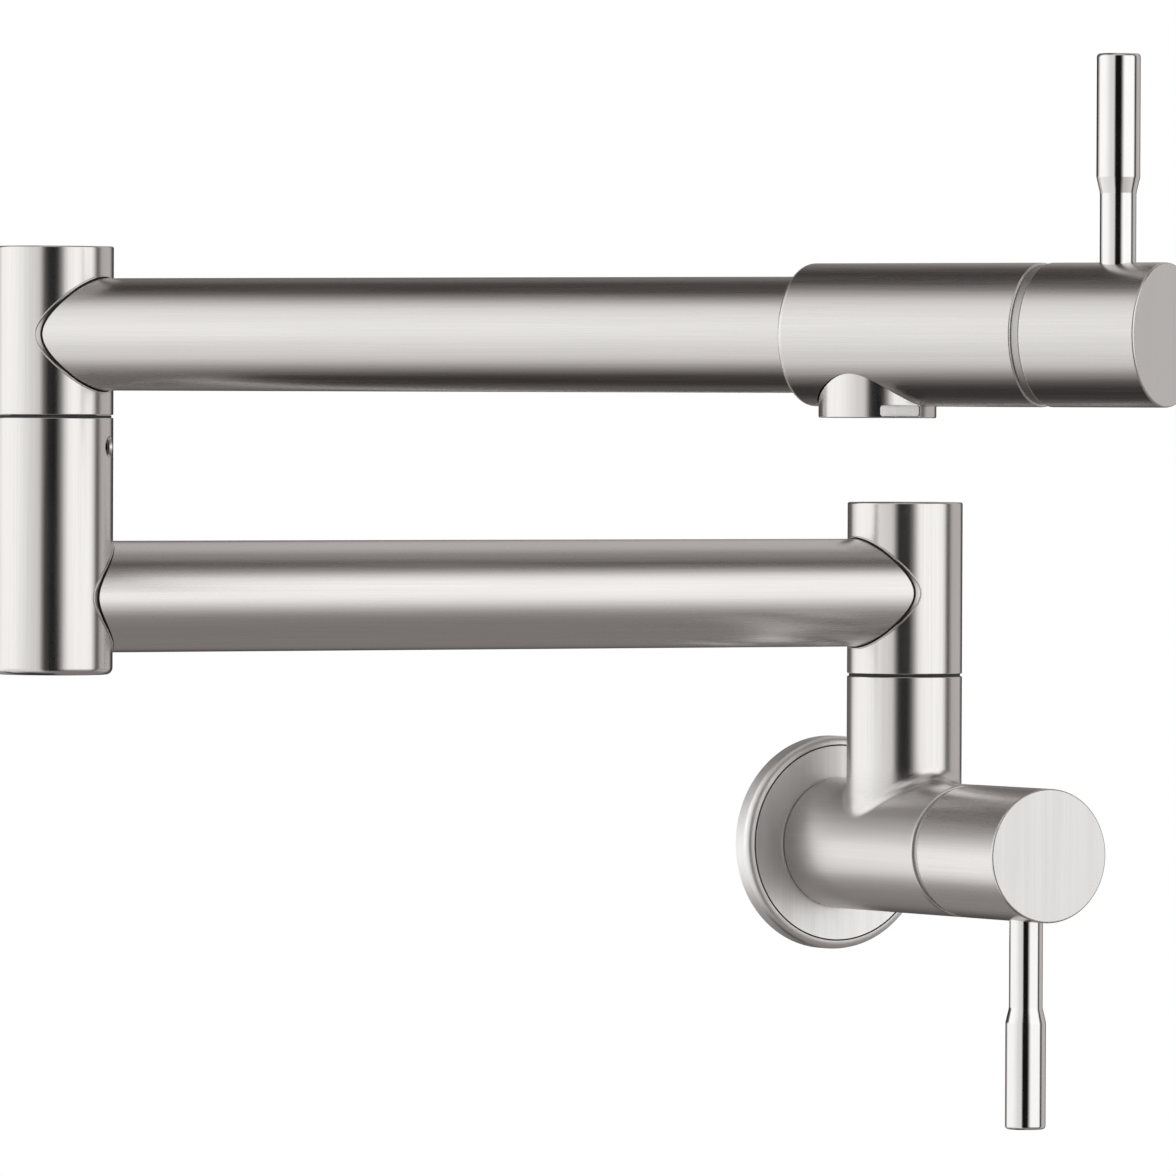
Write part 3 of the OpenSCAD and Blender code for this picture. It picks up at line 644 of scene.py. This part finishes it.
# Caps: each valve's handle hub, turned from solid bar, brushed along its side and faced flat at the front.
# It is bored for the cartridge's stem, and cross drilled for the lever.
cap_low, cap_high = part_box("inlet_cap")
inlet_cap_ends = (-cap_high.y, -cap_low.y)
cap_gap = inlet_cap_ends[0] - ring_ends[1]
outlet_cap_start = outlet_front_at + ring_len + cap_gap
outlet_cap_len = 31.6 * MM
cap_edge = 0.55 * MM
drive_bore_r = 4.03 * MM
lever_stem_r = 4.4 * MM
lever_seat = 3.0 * MM
inlet_lever_low, inlet_lever_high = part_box("inlet_lever")
inlet_lever_at = -(inlet_lever_low.y + inlet_lever_high.y) / 2
outlet_lever_at = reach_of("outlet_lever")
seat_gap = 0.12 * MM
front_facing = 0.9
steel_out = brushed_steel("brushed_steel_out_of_wall", (0, 0, -90))
steel_spout = brushed_steel("brushed_steel_along_spout", (0, 0, -math.degrees(spout_turn)))
steel_face = brushed_steel(
    "brushed_steel_face", (0, 90, 0), dark=(0.76, 0.75, 0.74), pale=(0.87, 0.86, 0.85), rough=(0.46, 0.5),
)


def upward(up):
    """Turns a piece that is made along Z upward for 1, or downward for -1."""
    return Matrix.Rotation(math.radians(-90 * up), 4, "X")


def steel_cap(name, start, end, lever_at, up):
    """A cap along Z: up is 1 where its lever stands up, and -1 where it hangs."""
    bore_end = lever_at + lever_stem_r
    cap = turned(name, [
        (drive_bore_r, start),
        *rounded((body_r - cap_edge, start + cap_edge), cap_edge, -90, 0, 4),
        *rounded((body_r - cap_edge, end - cap_edge), cap_edge, 0, 90, 5),
        (0, end),
    ])
    pick(cap)
    bpy.ops.object.mode_set(mode="EDIT")
    bpy.ops.mesh.select_mode(type="EDGE")
    bpy.ops.mesh.select_all(action="DESELECT")
    bpy.ops.mesh.select_non_manifold(extend=False)
    bpy.ops.mesh.extrude_region_move(TRANSFORM_OT_translate={"value": (0, 0, bore_end - start)})
    bpy.ops.mesh.edge_face_add()
    bpy.ops.mesh.select_all(action="SELECT")
    bpy.ops.mesh.normals_make_consistent(inside=False)
    bpy.ops.mesh.select_mode(type="VERT")
    bpy.ops.object.mode_set(mode="OBJECT")
    seat_r = lever_stem_r + seat_gap
    seat = turned("lever_seat", [
        (0, body_r - lever_seat), (seat_r, body_r - lever_seat), (seat_r, body_r + lever_seat),
        (0, body_r + lever_seat),
    ], segments=64)
    place(seat, Matrix.Translation((0, 0, lever_at)) @ upward(up))
    cut_with(cap, seat)
    return cap


for name, node, start, end, lever_at, up, frame_of_cap, steel in (
    ("inlet_hub", "inlet_cap", *inlet_cap_ends, inlet_lever_at, -1, out_of_wall, steel_out),
    (
        "outlet_hub", "outlet_cap", outlet_cap_start, outlet_cap_start + outlet_cap_len, outlet_lever_at, 1,
        along_upper_arm, steel_spout,
    ),
):
    cap = steel_cap(name, start, end, lever_at, up)
    dress(cap, steel)
    cap.data.materials.append(steel_face)
    for face in cap.data.polygons:
        if face.normal.z > front_facing:
            face.material_index = 1
    place(cap, frame_of_cap)
    finish_surface(cap)
    on_body(cap, node)

# Levers: turned and polished rods, thin at the stem and fuller at the grip, with a short cone between.
# The stem's end is threaded through the cap and grips the cartridge.
grip_r = 5.3 * MM
lever_thread_r = 3.0 * MM
inlet_grip_len, outlet_grip_len = 28.0 * MM, 30.0 * MM
cone_len = 3.5 * MM
cone_ease_len, cone_ease = 0.4 * MM, 0.04 * MM
grip_edge = 0.9 * MM
lever_start = drive_bore_r + 0.2 * MM
outlet_lever_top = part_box("outlet_lever")[1].z
polish = material_of(
    "polished_steel", ((0.69, 0.682, 0.676), (0.75, 0.742, 0.735)), (0.07, 0.12), 400,
    metallic=1.0, stretch=(1, 1, 0.2), bump_mm=0.004,
)
for name, node, lever_at, tip, grip_len, up, frame_of_lever in (
    (
        "inlet_handle_rod", "inlet_lever", inlet_lever_at, -inlet_lever_low.z, inlet_grip_len, -1,
        out_of_wall,
    ),
    (
        "outlet_handle_rod", "outlet_lever", outlet_lever_at, outlet_lever_top - spout_line.z,
        outlet_grip_len, 1, along_upper_arm,
    ),
):
    foot = tip - grip_len
    rod = turned(name, [
        (0, lever_start), (lever_thread_r, lever_start),
        (lever_thread_r, body_r - lever_seat), (lever_stem_r, body_r - lever_seat),
        (lever_stem_r, foot - cone_len - cone_ease_len), (lever_stem_r + cone_ease, foot - cone_len),
        (grip_r - cone_ease, foot), (grip_r, foot + cone_ease_len),
        *rounded((grip_r - grip_edge, tip - grip_edge), grip_edge, 0, 90, 6),
        (0, tip),
    ], segments=96)
    place(rod, frame_of_lever @ Matrix.Translation((0, 0, lever_at)) @ upward(up))
    finish_surface(rod, sharp_deg=35)
    dress(rod, polish)
    on_body(rod, node)

# Swivel posts: three lengths of solid drawn bar, bored for the spigots and closed at their free end. Two
# stand over a seam, and the lower elbow post hangs from its arm. All are brushed upwards.
post_edge = 0.5 * MM
seam_edge = 0.3 * MM
foot_edge = 1.8 * MM
post_end_t = 4.0 * MM
spigot_socket_r = 10.98 * MM
steel_upright = brushed_steel("brushed_steel_upright", (0, 90, 0), rough=(0.18, 0.23))


def upright_at(point):
    """Sets a piece that is made on the Z axis over a point."""
    return Matrix.Translation((point.x, point.y, 0))


def post(name, node, axis_point, bore_low, bore_high, bore_r, low_edge, high_edge):
    """An upright post with a blind bore from one of its ends."""
    low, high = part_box(node)
    outline = [
        (0, low.z), *rounded((riser_r - low_edge, low.z + low_edge), low_edge, -90, 0, 6),
        *rounded((riser_r - high_edge, high.z - high_edge), high_edge, 0, 90, 6), (0, high.z),
    ]
    if bore_low == low.z:
        outline = [(0, bore_high), (bore_r, bore_high), (bore_r, low.z), *outline[1:]]
    else:
        outline = [*outline[:-1], (bore_r, high.z), (bore_r, bore_low), (0, bore_low)]
    piece = turned(name, outline)
    place(piece, upright_at(axis_point))
    return piece


shoulder_foot, shoulder_top = (corner.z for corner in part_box("shoulder_knuckle"))
knuckle_foot, knuckle_top = (corner.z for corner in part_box("elbow_knuckle"))
elbow_foot, elbow_top = (corner.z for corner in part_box("elbow_post"))
shoulder_post = post(
    "shoulder_post", "shoulder_knuckle", shoulder, shoulder_foot, shoulder_top - post_end_t,
    spigot_socket_r, seam_edge, post_edge,
)
upper_elbow = post(
    "upper_elbow", "elbow_knuckle", elbow, knuckle_foot, knuckle_top - post_end_t,
    spigot_socket_r, seam_edge, post_edge,
)
lower_elbow = post(
    "lower_elbow", "elbow_post", elbow, elbow_foot + post_end_t, elbow_top,
    swivel_bore_r, foot_edge, seam_edge,
)
screw_hole(lower_elbow, "elbow_set_screw")
for piece, node in (
    (shoulder_post, "shoulder_knuckle"), (upper_elbow, "elbow_knuckle"), (lower_elbow, "elbow_post"),
):
    finish_surface(piece)
    dress(piece, steel_upright)
    on_body(piece, node)

# Glide washers: flat plastic rings in the two swivel seams, which keep the posts' ends from scraping.
# They are turned a little smaller than the posts, so that the seam reads as one fine dark line.
washer_bore_r = 11.2 * MM
washer_edge = 0.1 * MM
washer_inset = 0.3 * MM
washer_lift = 0.12 * MM
# Black plastic taken near-black so that it also stands for the shade in the seam: partly the plastic's own colour,
# partly painted shade
glide_and_seam_shade = material_of(
    "glide_plastic", ((0.02, 0.02, 0.02), (0.035, 0.035, 0.035)), (0.6, 0.7), 500, bump_mm=0.02,
)
for name, node, axis_point in (
    ("shoulder_glide_ring", "shoulder_glide_washer", shoulder),
    ("elbow_glide_ring", "elbow_glide_washer", elbow),
):
    low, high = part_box(node)
    washer_r = (high.x - low.x) / 2 - washer_inset
    washer_top = high.z + washer_lift
    piece = turned(name, [
        (washer_bore_r, low.z), (washer_r - washer_edge, low.z), (washer_r, low.z + washer_edge),
        (washer_r, washer_top - washer_edge), (washer_r - washer_edge, washer_top),
        (washer_bore_r, washer_top), (washer_bore_r, low.z),
    ])
    place(piece, upright_at(axis_point))
    finish_surface(piece)
    dress(piece, glide_and_seam_shade)
    on_body(piece, node)

# Arm tubes: drawn stainless tube, coped at the end to fit round its post, and welded there. The weld is
# ground down to a fine bead along the saddle.
tube_r = 14.25 * MM
tube_wall = 1.6 * MM
bead_r = 0.22 * MM
valley_r = 0.3 * MM
tube_low, tube_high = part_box("lower_arm_tube")
lower_arm_z = (tube_low.z + tube_high.z) / 2
lower_arm_len = shoulder.x - elbow.x
upper_tube_end = 225.4 * MM
steel_along = brushed_steel("brushed_steel_along_wall", (0, 0, 0))
weld_steel = brushed_steel("ground_weld", (0, 90, 0), rough=(0.16, 0.2))


def tube(name, length, cope_start, cope_end):
    """A tube along Z, whose coped ends follow a post that stands along local Y."""
    piece = turned(name, [
        (tube_r, 0), (tube_r, length), (tube_r - tube_wall, length), (tube_r - tube_wall, 0), (tube_r, 0),
    ])
    pick(piece)
    bpy.ops.object.mode_set(mode="EDIT")
    bpy.ops.mesh.select_all(action="SELECT")
    bpy.ops.mesh.bisect(plane_co=(0, 0, length / 2), plane_no=(0, 0, 1))
    bpy.ops.object.mode_set(mode="OBJECT")
    for vertex in piece.data.vertices:
        reach = math.sqrt(riser_r ** 2 - vertex.co.x ** 2)
        if vertex.co.z < length / 4 and cope_start:
            vertex.co.z = reach
        if vertex.co.z > length * 3 / 4 and cope_end:
            vertex.co.z = length - reach
    return piece


def saddle_ring(name, toward, outside, thickness):
    """A fine ring along the saddle of a tube on a post: toward is 1 or -1 along local Z."""
    deselect()
    bpy.ops.mesh.primitive_circle_add(vertices=SEGMENTS, radius=tube_r + outside)
    ring = bpy.context.object
    ring.name = ring.data.name = name
    for vertex in ring.data.vertices:
        x = min(abs(vertex.co.x), riser_r)
        vertex.co.z = toward * math.sqrt((riser_r + thickness / 4) ** 2 - x ** 2)
    bpy.ops.object.convert(target="CURVE")
    ring.data.bevel_depth = thickness
    ring.data.bevel_resolution = 3
    bpy.ops.object.convert(target="MESH")
    return ring


lower_arm_frame = (
    Matrix.Translation((shoulder.x, shoulder.y, lower_arm_z))
    @ Matrix.Rotation(math.pi, 4, "Z")
    @ Euler((math.radians(90), 0, math.radians(90))).to_matrix().to_4x4()
)
lower_tube = tube("lower_tube", lower_arm_len, True, True)
place(lower_tube, lower_arm_frame)
upper_tube = tube("upper_tube", upper_tube_end, True, False)
place(upper_tube, along_upper_arm)
for piece, node, steel in (
    (lower_tube, "lower_arm_tube", steel_along), (upper_tube, "upper_arm_tube", steel_spout),
):
    finish_surface(piece)
    dress(piece, steel)
    on_body(piece, node)
for name, toward, frame_of_bead, body in (
    ("shoulder_weld", 1, lower_arm_frame, "lower_arm"),
    ("lower_elbow_weld", -1, lower_arm_frame @ Matrix.Translation((0, 0, lower_arm_len)), "lower_arm"),
    ("upper_elbow_weld", 1, along_upper_arm, "upper_arm"),
):
    bead = saddle_ring(name, toward, bead_r + valley_r, bead_r)
    dress(bead, weld_steel)
    # Painted shade: a thin near-black ring lies in the valley between the bead and the tube
    valley = saddle_ring(name + "_valley", toward, 0, valley_r)
    dress(valley, painted_shade_steel)
    deselect()
    for piece in (valley, bead):
        piece.select_set(True)
    bpy.context.view_layer.objects.active = bead
    bpy.ops.object.join()
    place(bead, frame_of_bead)
    finish_surface(bead, sharp_deg=60)
    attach(bead, body)

# Outlet valve body: turned bar, rounded at the back where the arm is welded in, bored at the front for its
# cartridge and from below for the spout.
outlet_back_at = 221.6 * MM
spout_at = 240.6 * MM
outlet_edge = 1.8 * MM
arm_gap = 0.1 * MM
cartridge_depth = 28.0 * MM
spout_gap = 0.3 * MM
housing_low, housing_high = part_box("aerator_housing")
housing_r = (housing_high.x - housing_low.x) / 2
housing_top = housing_high.z
housing_mouth = housing_low.z
outlet_body = turned("outlet_body", [
    (tube_r + arm_gap, upper_tube_end), (tube_r + arm_gap, outlet_back_at),
    *rounded((body_r - outlet_edge, outlet_back_at + outlet_edge), outlet_edge, -90, 0, 8),
    *rounded((body_r - body_edge, outlet_front_at - body_edge), body_edge, 0, 90, 4),
    (bonnet_r, outlet_front_at), (bonnet_r, outlet_front_at - cartridge_depth),
    (0, outlet_front_at - cartridge_depth),
])
pick(outlet_body)
bpy.ops.object.mode_set(mode="EDIT")
bpy.ops.mesh.select_mode(type="EDGE")
bpy.ops.mesh.select_all(action="DESELECT")
bpy.ops.mesh.select_non_manifold(extend=False)
bpy.ops.mesh.edge_face_add()
bpy.ops.mesh.select_all(action="SELECT")
bpy.ops.mesh.normals_make_consistent(inside=False)
bpy.ops.mesh.select_mode(type="VERT")
bpy.ops.object.mode_set(mode="OBJECT")
pocket_roof, cut_foot = housing_top - spout_line.z, -2 * body_r
mouth_cut = turned("spout_bore", [
    (0, pocket_roof), (housing_r + spout_gap, pocket_roof),
    (housing_r + spout_gap, cut_foot), (0, cut_foot),
])
place(mouth_cut, Matrix.Translation((0, 0, spout_at)) @ upward(1))
cut_with(outlet_body, mouth_cut)
dress(outlet_body, steel_spout)
outlet_body.data.materials.append(painted_shade_steel)

# Painted shade: the faces of the narrow pocket round the spout get the near-black steel
face_reach = 1.0 * MM
for face in outlet_body.data.polygons:
    from_spout = math.hypot(face.center.x, face.center.z - spout_at)
    if face.center.y < pocket_roof + face_reach and from_spout < housing_r + 2 * spout_gap:
        face.material_index = 1
place(outlet_body, along_upper_arm)
finish_surface(outlet_body)
on_body(outlet_body, "outlet_valve_body")

# Aerator housing: a short turned bush of brushed steel, screwed up into the outlet body. Its lip holds the
# plastic insert, and two small flats take a spanner.
housing_wall = 3.2 * MM
lip = 1.6 * MM
housing_edge = 0.4 * MM
housing_bevel, bevel_steps, bevel_deg = 0.35 * MM, 3, 40
flat_w, flat_h, flat_depth, flat_corner = 10.6 * MM, 2.7 * MM, 1.35 * MM, 0.68 * MM
flat_turn = math.radians(-97)
flat_top = housing_mouth + housing_edge + flat_h
housing = turned("spout_housing", [
    (housing_r - housing_wall, housing_top), (housing_r - housing_wall, housing_mouth + lip),
    (housing_r - housing_wall - lip, housing_mouth + lip), (housing_r - housing_wall - lip, housing_mouth),
    *rounded((housing_r - housing_edge, housing_mouth + housing_edge), housing_edge, -90, 0, 4),
    (housing_r, flat_top + housing_edge), (housing_r, housing_top), (housing_r - housing_wall, housing_top),
])
for side in (0, math.pi):
    deselect()
    bpy.ops.mesh.primitive_cube_add(size=1)
    pocket = bpy.context.object
    pocket.scale = (2 * flat_depth, flat_w, flat_h)
    bpy.ops.object.transform_apply(scale=True)
    bpy.ops.object.mode_set(mode="EDIT")
    bpy.ops.mesh.select_mode(type="EDGE")
    bpy.ops.mesh.select_all(action="DESELECT")
    bpy.ops.object.mode_set(mode="OBJECT")
    for edge in pocket.data.edges:
        a, b = (pocket.data.vertices[i].co for i in edge.vertices)
        edge.select = abs(a.x - b.x) > flat_depth
    bpy.ops.object.mode_set(mode="EDIT")
    bpy.ops.mesh.bevel(offset=flat_corner, segments=6)
    bpy.ops.mesh.select_mode(type="VERT")
    bpy.ops.object.mode_set(mode="OBJECT")
    place(
        pocket,
        Matrix.Rotation(flat_turn + side, 4, "Z")
        @ Matrix.Translation((housing_r, 0, flat_top - flat_h / 2)),
    )
    cut_with(housing, pocket)
pick(housing)
bpy.ops.object.modifier_add(type="BEVEL")
bevel = housing.modifiers[-1]
bevel.width = housing_bevel
bevel.segments = bevel_steps
bevel.limit_method = "ANGLE"
bevel.angle_limit = math.radians(bevel_deg)
bpy.ops.object.modifier_apply(modifier=bevel.name)
dress(housing, steel_upright)
housing.data.materials.append(painted_shade_steel)
housing.data.materials.append(steel_face)

# Each spanner flat has a pale floor within a dark outline, which is painted shade: the flat's walls get the
# near-black steel
skin = 0.02 * MM
for face in housing.data.polygons:
    depth = housing_r - math.hypot(face.center.x, face.center.y)
    beside_flat = housing_mouth + housing_edge / 2 < face.center.z < flat_top + housing_edge
    if beside_flat and skin < depth < 1.1 * flat_depth:
        face.material_index = 2 if depth > 0.9 * flat_depth else 1
spout_point = spout_line + spout_way * spout_at
place(housing, upright_at(spout_point))
finish_surface(housing)
on_body(housing, "aerator_housing")

# Small and inner pieces: the cartridges, seals, spigots and screws keep their CAD shapes, and each gets
# its own finish. Rubber for the seals, lapped ceramic for the discs, and machined brass for the rest.
rubber = material_of(
    "seal_rubber", ((0.035, 0.035, 0.036), (0.07, 0.07, 0.072)), (0.55, 0.75), 700, bump_mm=0.05,
)
ceramic = material_of("lapped_ceramic", ((0.88, 0.87, 0.83), (0.94, 0.93, 0.9)), (0.12, 0.2), 300, coat=0.3)
comb = material_of("comb_plastic", ((0.72, 0.72, 0.71), (0.82, 0.82, 0.81)), (0.35, 0.5), 400, bump_mm=0.02)
dark_screw = material_of(
    "dark_screw", ((0.10, 0.10, 0.105), (0.22, 0.22, 0.23)), (0.3, 0.45), 900, metallic=1.0, bump_mm=0.02,
)
finishes = {
    "seal_rubber": rubber, "white_ceramic": ceramic, "glide_plastic": glide_and_seam_shade, "comb_plastic": comb,
    "dark_screw": dark_screw, "plain_brass": brass, "brushed_steel": steel_upright,
    "brushed_plate": steel_face, "polished_steel": polish,
}
for part in frame["record"]["subparts"]:
    node = frame["nodes"][part["node"]]
    if not node.hide_render:
        dress(node, finishes[part["material_slot"]])

# Studio: a pale floor far below the tap, soft lamps, and a tent of white and dark cloths that only the
# metal sees, which draws the dark and bright bands on it.
floor_z = -0.5
floor_r = 6.0
deselect()
bpy.ops.mesh.primitive_circle_add(vertices=96, radius=floor_r, fill_type="NGON", location=(0, 0, floor_z))
floor = bpy.context.object
floor.name = "floor"
floor.visible_glossy = False
floor_finish = bpy.data.materials.new("pale_floor")
floor_finish.use_nodes = True
nodes, link = floor_finish.node_tree.nodes, floor_finish.node_tree.links.new
nodes["Principled BSDF"].inputs["Base Color"].default_value = (0.9, 0.9, 0.9, 1)
nodes["Principled BSDF"].inputs["Roughness"].default_value = 0.9
side_seen = nodes.new("ShaderNodeNewGeometry")
clear = nodes.new("ShaderNodeBsdfTransparent")
choose = nodes.new("ShaderNodeMixShader")
floor_place = nodes.new("ShaderNodeTexCoord")
far_out = nodes.new("ShaderNodeVectorMath")
far_out.operation = "LENGTH"
fade = nodes.new("ShaderNodeMapRange")
fade.interpolation_type = "SMOOTHSTEP"
fade.inputs["From Min"].default_value = 0.6
fade.inputs["From Max"].default_value = 2.4
unseen = nodes.new("ShaderNodeMath")
unseen.operation = "MAXIMUM"
link(floor_place.outputs["Object"], far_out.inputs[0])
link(far_out.outputs["Value"], fade.inputs["Value"])
link(fade.outputs["Result"], unseen.inputs[0])
link(side_seen.outputs["Backfacing"], unseen.inputs[1])
link(unseen.outputs["Value"], choose.inputs[0])
link(nodes["Principled BSDF"].outputs["BSDF"], choose.inputs[1])
link(clear.outputs["BSDF"], choose.inputs[2])
link(choose.outputs["Shader"], nodes["Material Output"].inputs["Surface"])
floor.data.materials.append(floor_finish)

# The camera's turn, tip and lean, fitted to the photograph's outlines. The tent hangs by the same view.
camera_yaw, camera_pitch, camera_roll = (math.radians(deg) for deg in (-30, -0.8897, 0.2246))
ahead = Vector((
    -math.sin(camera_yaw) * math.cos(camera_pitch),
    math.cos(camera_yaw) * math.cos(camera_pitch),
    math.sin(camera_pitch),
))
level_right = Vector((math.cos(camera_yaw), math.sin(camera_yaw), 0))
level_up = level_right.cross(ahead)
camera_right = math.cos(camera_roll) * level_right + math.sin(camera_roll) * level_up
camera_up = -math.sin(camera_roll) * level_right + math.cos(camera_roll) * level_up

tent_middle = Vector((-0.1, -0.1, 0.07))
tent_r = 8.0
deselect()
bpy.ops.mesh.primitive_uv_sphere_add(segments=64, ring_count=32, radius=tent_r)
tent = bpy.context.object
tent.name = "studio_tent"
place(tent, Matrix.Translation(tent_middle))
tent.visible_camera = tent.visible_diffuse = tent.visible_shadow = False
tent_cloth = bpy.data.materials.new("tent_cloth")
tent_cloth.use_nodes = True
nodes, link = tent_cloth.node_tree.nodes, tent_cloth.node_tree.links.new
nodes.remove(nodes["Principled BSDF"])


def math_node(operation, *inputs):
    node = nodes.new("ShaderNodeMath")
    node.operation = operation
    for i, value in enumerate(inputs):
        if isinstance(value, (int, float)):
            node.inputs[i].default_value = value
        else:
            link(value, node.inputs[i])
    return node.outputs["Value"]


def dot_with(vector):
    node = nodes.new("ShaderNodeVectorMath")
    node.operation = "DOT_PRODUCT"
    link(from_middle.outputs["Vector"], node.inputs[0])
    node.inputs[1].default_value = vector
    return node.outputs["Value"]


def soft_step(value, at, soft):
    """0 well below the angle and 1 well above it."""
    node = nodes.new("ShaderNodeMapRange")
    node.interpolation_type = "SMOOTHSTEP"
    node.inputs["From Min"].default_value = math.radians(at - soft)
    node.inputs["From Max"].default_value = math.radians(at + soft)
    link(value, node.inputs["Value"])
    return node.outputs["Result"]


tent_place = nodes.new("ShaderNodeTexCoord")
shifted = nodes.new("ShaderNodeVectorMath")
shifted.operation = "SUBTRACT"
shifted.inputs[1].default_value = tent_middle
from_middle = nodes.new("ShaderNodeVectorMath")
from_middle.operation = "NORMALIZE"
link(tent_place.outputs["Object"], shifted.inputs[0])
link(shifted.outputs["Vector"], from_middle.inputs[0])
around = math_node("ARCTAN2", dot_with(level_right), dot_with(-ahead))
height = math_node("ARCSINE", dot_with((0, 0, 1)))

# Each cloth has a name, a brightness and four edges: left and right of the camera's side, then low and
# high. An edge is an angle in degrees, and how far the cloth fades there. A later cloth hangs in front.
cloths = (
    ("roof", 0.7, (-400, 1), (400, 1), (74, 9), (200, 1)),
    ("back_right", 0.4, (158, 8), (400, 1), (12, 8), (42, 8)),
    ("back_left", 0.2, (-400, 1), (-120, 8), (14, 8), (42, 8)),
    ("front_top", 0.5, (-70, 14), (70, 14), (42, 9), (78, 8)),
    ("front_bottom", 0.3, (-70, 14), (70, 14), (-80, 8), (-42, 9)),
    ("front_dark", 0.008, (-40, 8), (38, 8), (-30, 8), (28, 8)),
    ("low_right", 0.28, (20, 10), (200, 10), (-100, 5), (-24, 18)),
    ("high_right", 0.34, (98, 8), (200, 10), (44, 8), (72, 8)),
    ("high_back_right", 0.62, (142, 8), (200, 10), (24, 10), (62, 8)),
    ("far_right", 0.6, (103, 6), (148, 6), (-30, 12), (40, 12)),
    ("near_right", 1.36, (21, 12), (88, 7), (-20, 22), (38, 12)),
    ("wide_left", 0.92, (-116, 8), (-21, 6), (-50, 16), (54, 12)),
    ("bright_left", 1.36, (-118, 8), (-58, 24), (-12, 20), (32, 22)),
    ("low_back_left", 0.36, (-172, 10), (-128, 9), (-40, 8), (-4, 8)),
    ("far_left", 1.3, (-133, 9), (-110, 8), (-27, 9), (3, 8)),
)
shade = 0.04
for name, brightness, left_edge, right_edge, low_edge, high_edge in cloths:
    before_right = math_node("SUBTRACT", 1.0, soft_step(around, *right_edge))
    below_top = math_node("SUBTRACT", 1.0, soft_step(height, *high_edge))
    mask = math_node("MULTIPLY", soft_step(around, *left_edge), before_right)
    mask = math_node("MULTIPLY", mask, soft_step(height, *low_edge))
    mask = math_node("MULTIPLY", mask, below_top)
    mixed = nodes.new("ShaderNodeMix")
    mixed.label = name
    mixed.data_type = "FLOAT"
    link(mask, mixed.inputs["Factor"])
    if isinstance(shade, float):
        mixed.inputs["A"].default_value = shade
    else:
        link(shade, mixed.inputs["A"])
    mixed.inputs["B"].default_value = brightness
    shade = mixed.outputs["Result"]
warmth = nodes.new("ShaderNodeMix")
warmth.data_type = "RGBA"
warmth.inputs["A"].default_value = (1.0, 0.9, 0.87, 1)
warmth.inputs["B"].default_value = (1.0, 0.995, 0.99, 1)
glow = nodes.new("ShaderNodeEmission")
link(shade, warmth.inputs["Factor"])
link(warmth.outputs["Result"], glow.inputs["Color"])
link(shade, glow.inputs["Strength"])
link(glow.outputs["Emission"], nodes["Material Output"].inputs["Surface"])
tent.data.materials.append(tent_cloth)

# The room is white where it is seen, and dimmer as a lamp
world = bpy.data.worlds.new("white_room")
bpy.context.scene.world = world
world.use_nodes = True
nodes, link = world.node_tree.nodes, world.node_tree.links.new
rays = nodes.new("ShaderNodeLightPath")
seen = math_node("MAXIMUM", rays.outputs["Is Camera Ray"], rays.outputs["Is Glossy Ray"])
seen = math_node("MAXIMUM", seen, rays.outputs["Is Transmission Ray"])
strength = nodes.new("ShaderNodeMapRange")
strength.inputs["To Min"].default_value = 0.45
strength.inputs["To Max"].default_value = 1.0
link(seen, strength.inputs["Value"])
link(strength.outputs["Result"], nodes["Background"].inputs["Strength"])
nodes["Background"].inputs["Color"].default_value = (1, 1, 1, 1)

lamp_target = Vector((-0.12, -0.1, 0.06))
for name, spot, size, power in (
    ("key_lamp", (-1.4, -2.0, 1.6), 1.4, 38),
    ("fill_lamp", (1.8, -1.2, 1.0), 1.4, 20),
    ("back_lamp", (0.4, 2.0, 1.4), 1.4, 22),
):
    deselect()
    bpy.ops.object.light_add(type="AREA", location=spot)
    lamp = bpy.context.object
    lamp.name = lamp.data.name = name
    lamp.data.size = size
    lamp.data.energy = power
    lamp.rotation_euler = (lamp_target - Vector(spot)).to_track_quat("-Z", "Y").to_euler()
    lamp.visible_glossy = False

# Camera: the photograph's view, from the front left and level with the tap, through a long lens
frame_px = 1176
focal_px = 12000
camera_place = Vector((-1.662917, -2.751908, 0.117669))
camera_data = bpy.data.cameras.new("photo_camera")
camera_data.sensor_width = 36
camera_data.lens = camera_data.sensor_width * focal_px / frame_px
camera_data.clip_start = 0.1
camera_data.clip_end = 100
camera = bpy.data.objects.new("photo_camera", camera_data)
bpy.context.scene.collection.objects.link(camera)
camera_turn = Matrix((camera_right, camera_up, -ahead)).transposed()
camera.matrix_world = Matrix.Translation(camera_place) @ camera_turn.to_4x4()
bpy.context.scene.camera = camera
bpy.context.scene.view_settings.view_transform = "Standard"
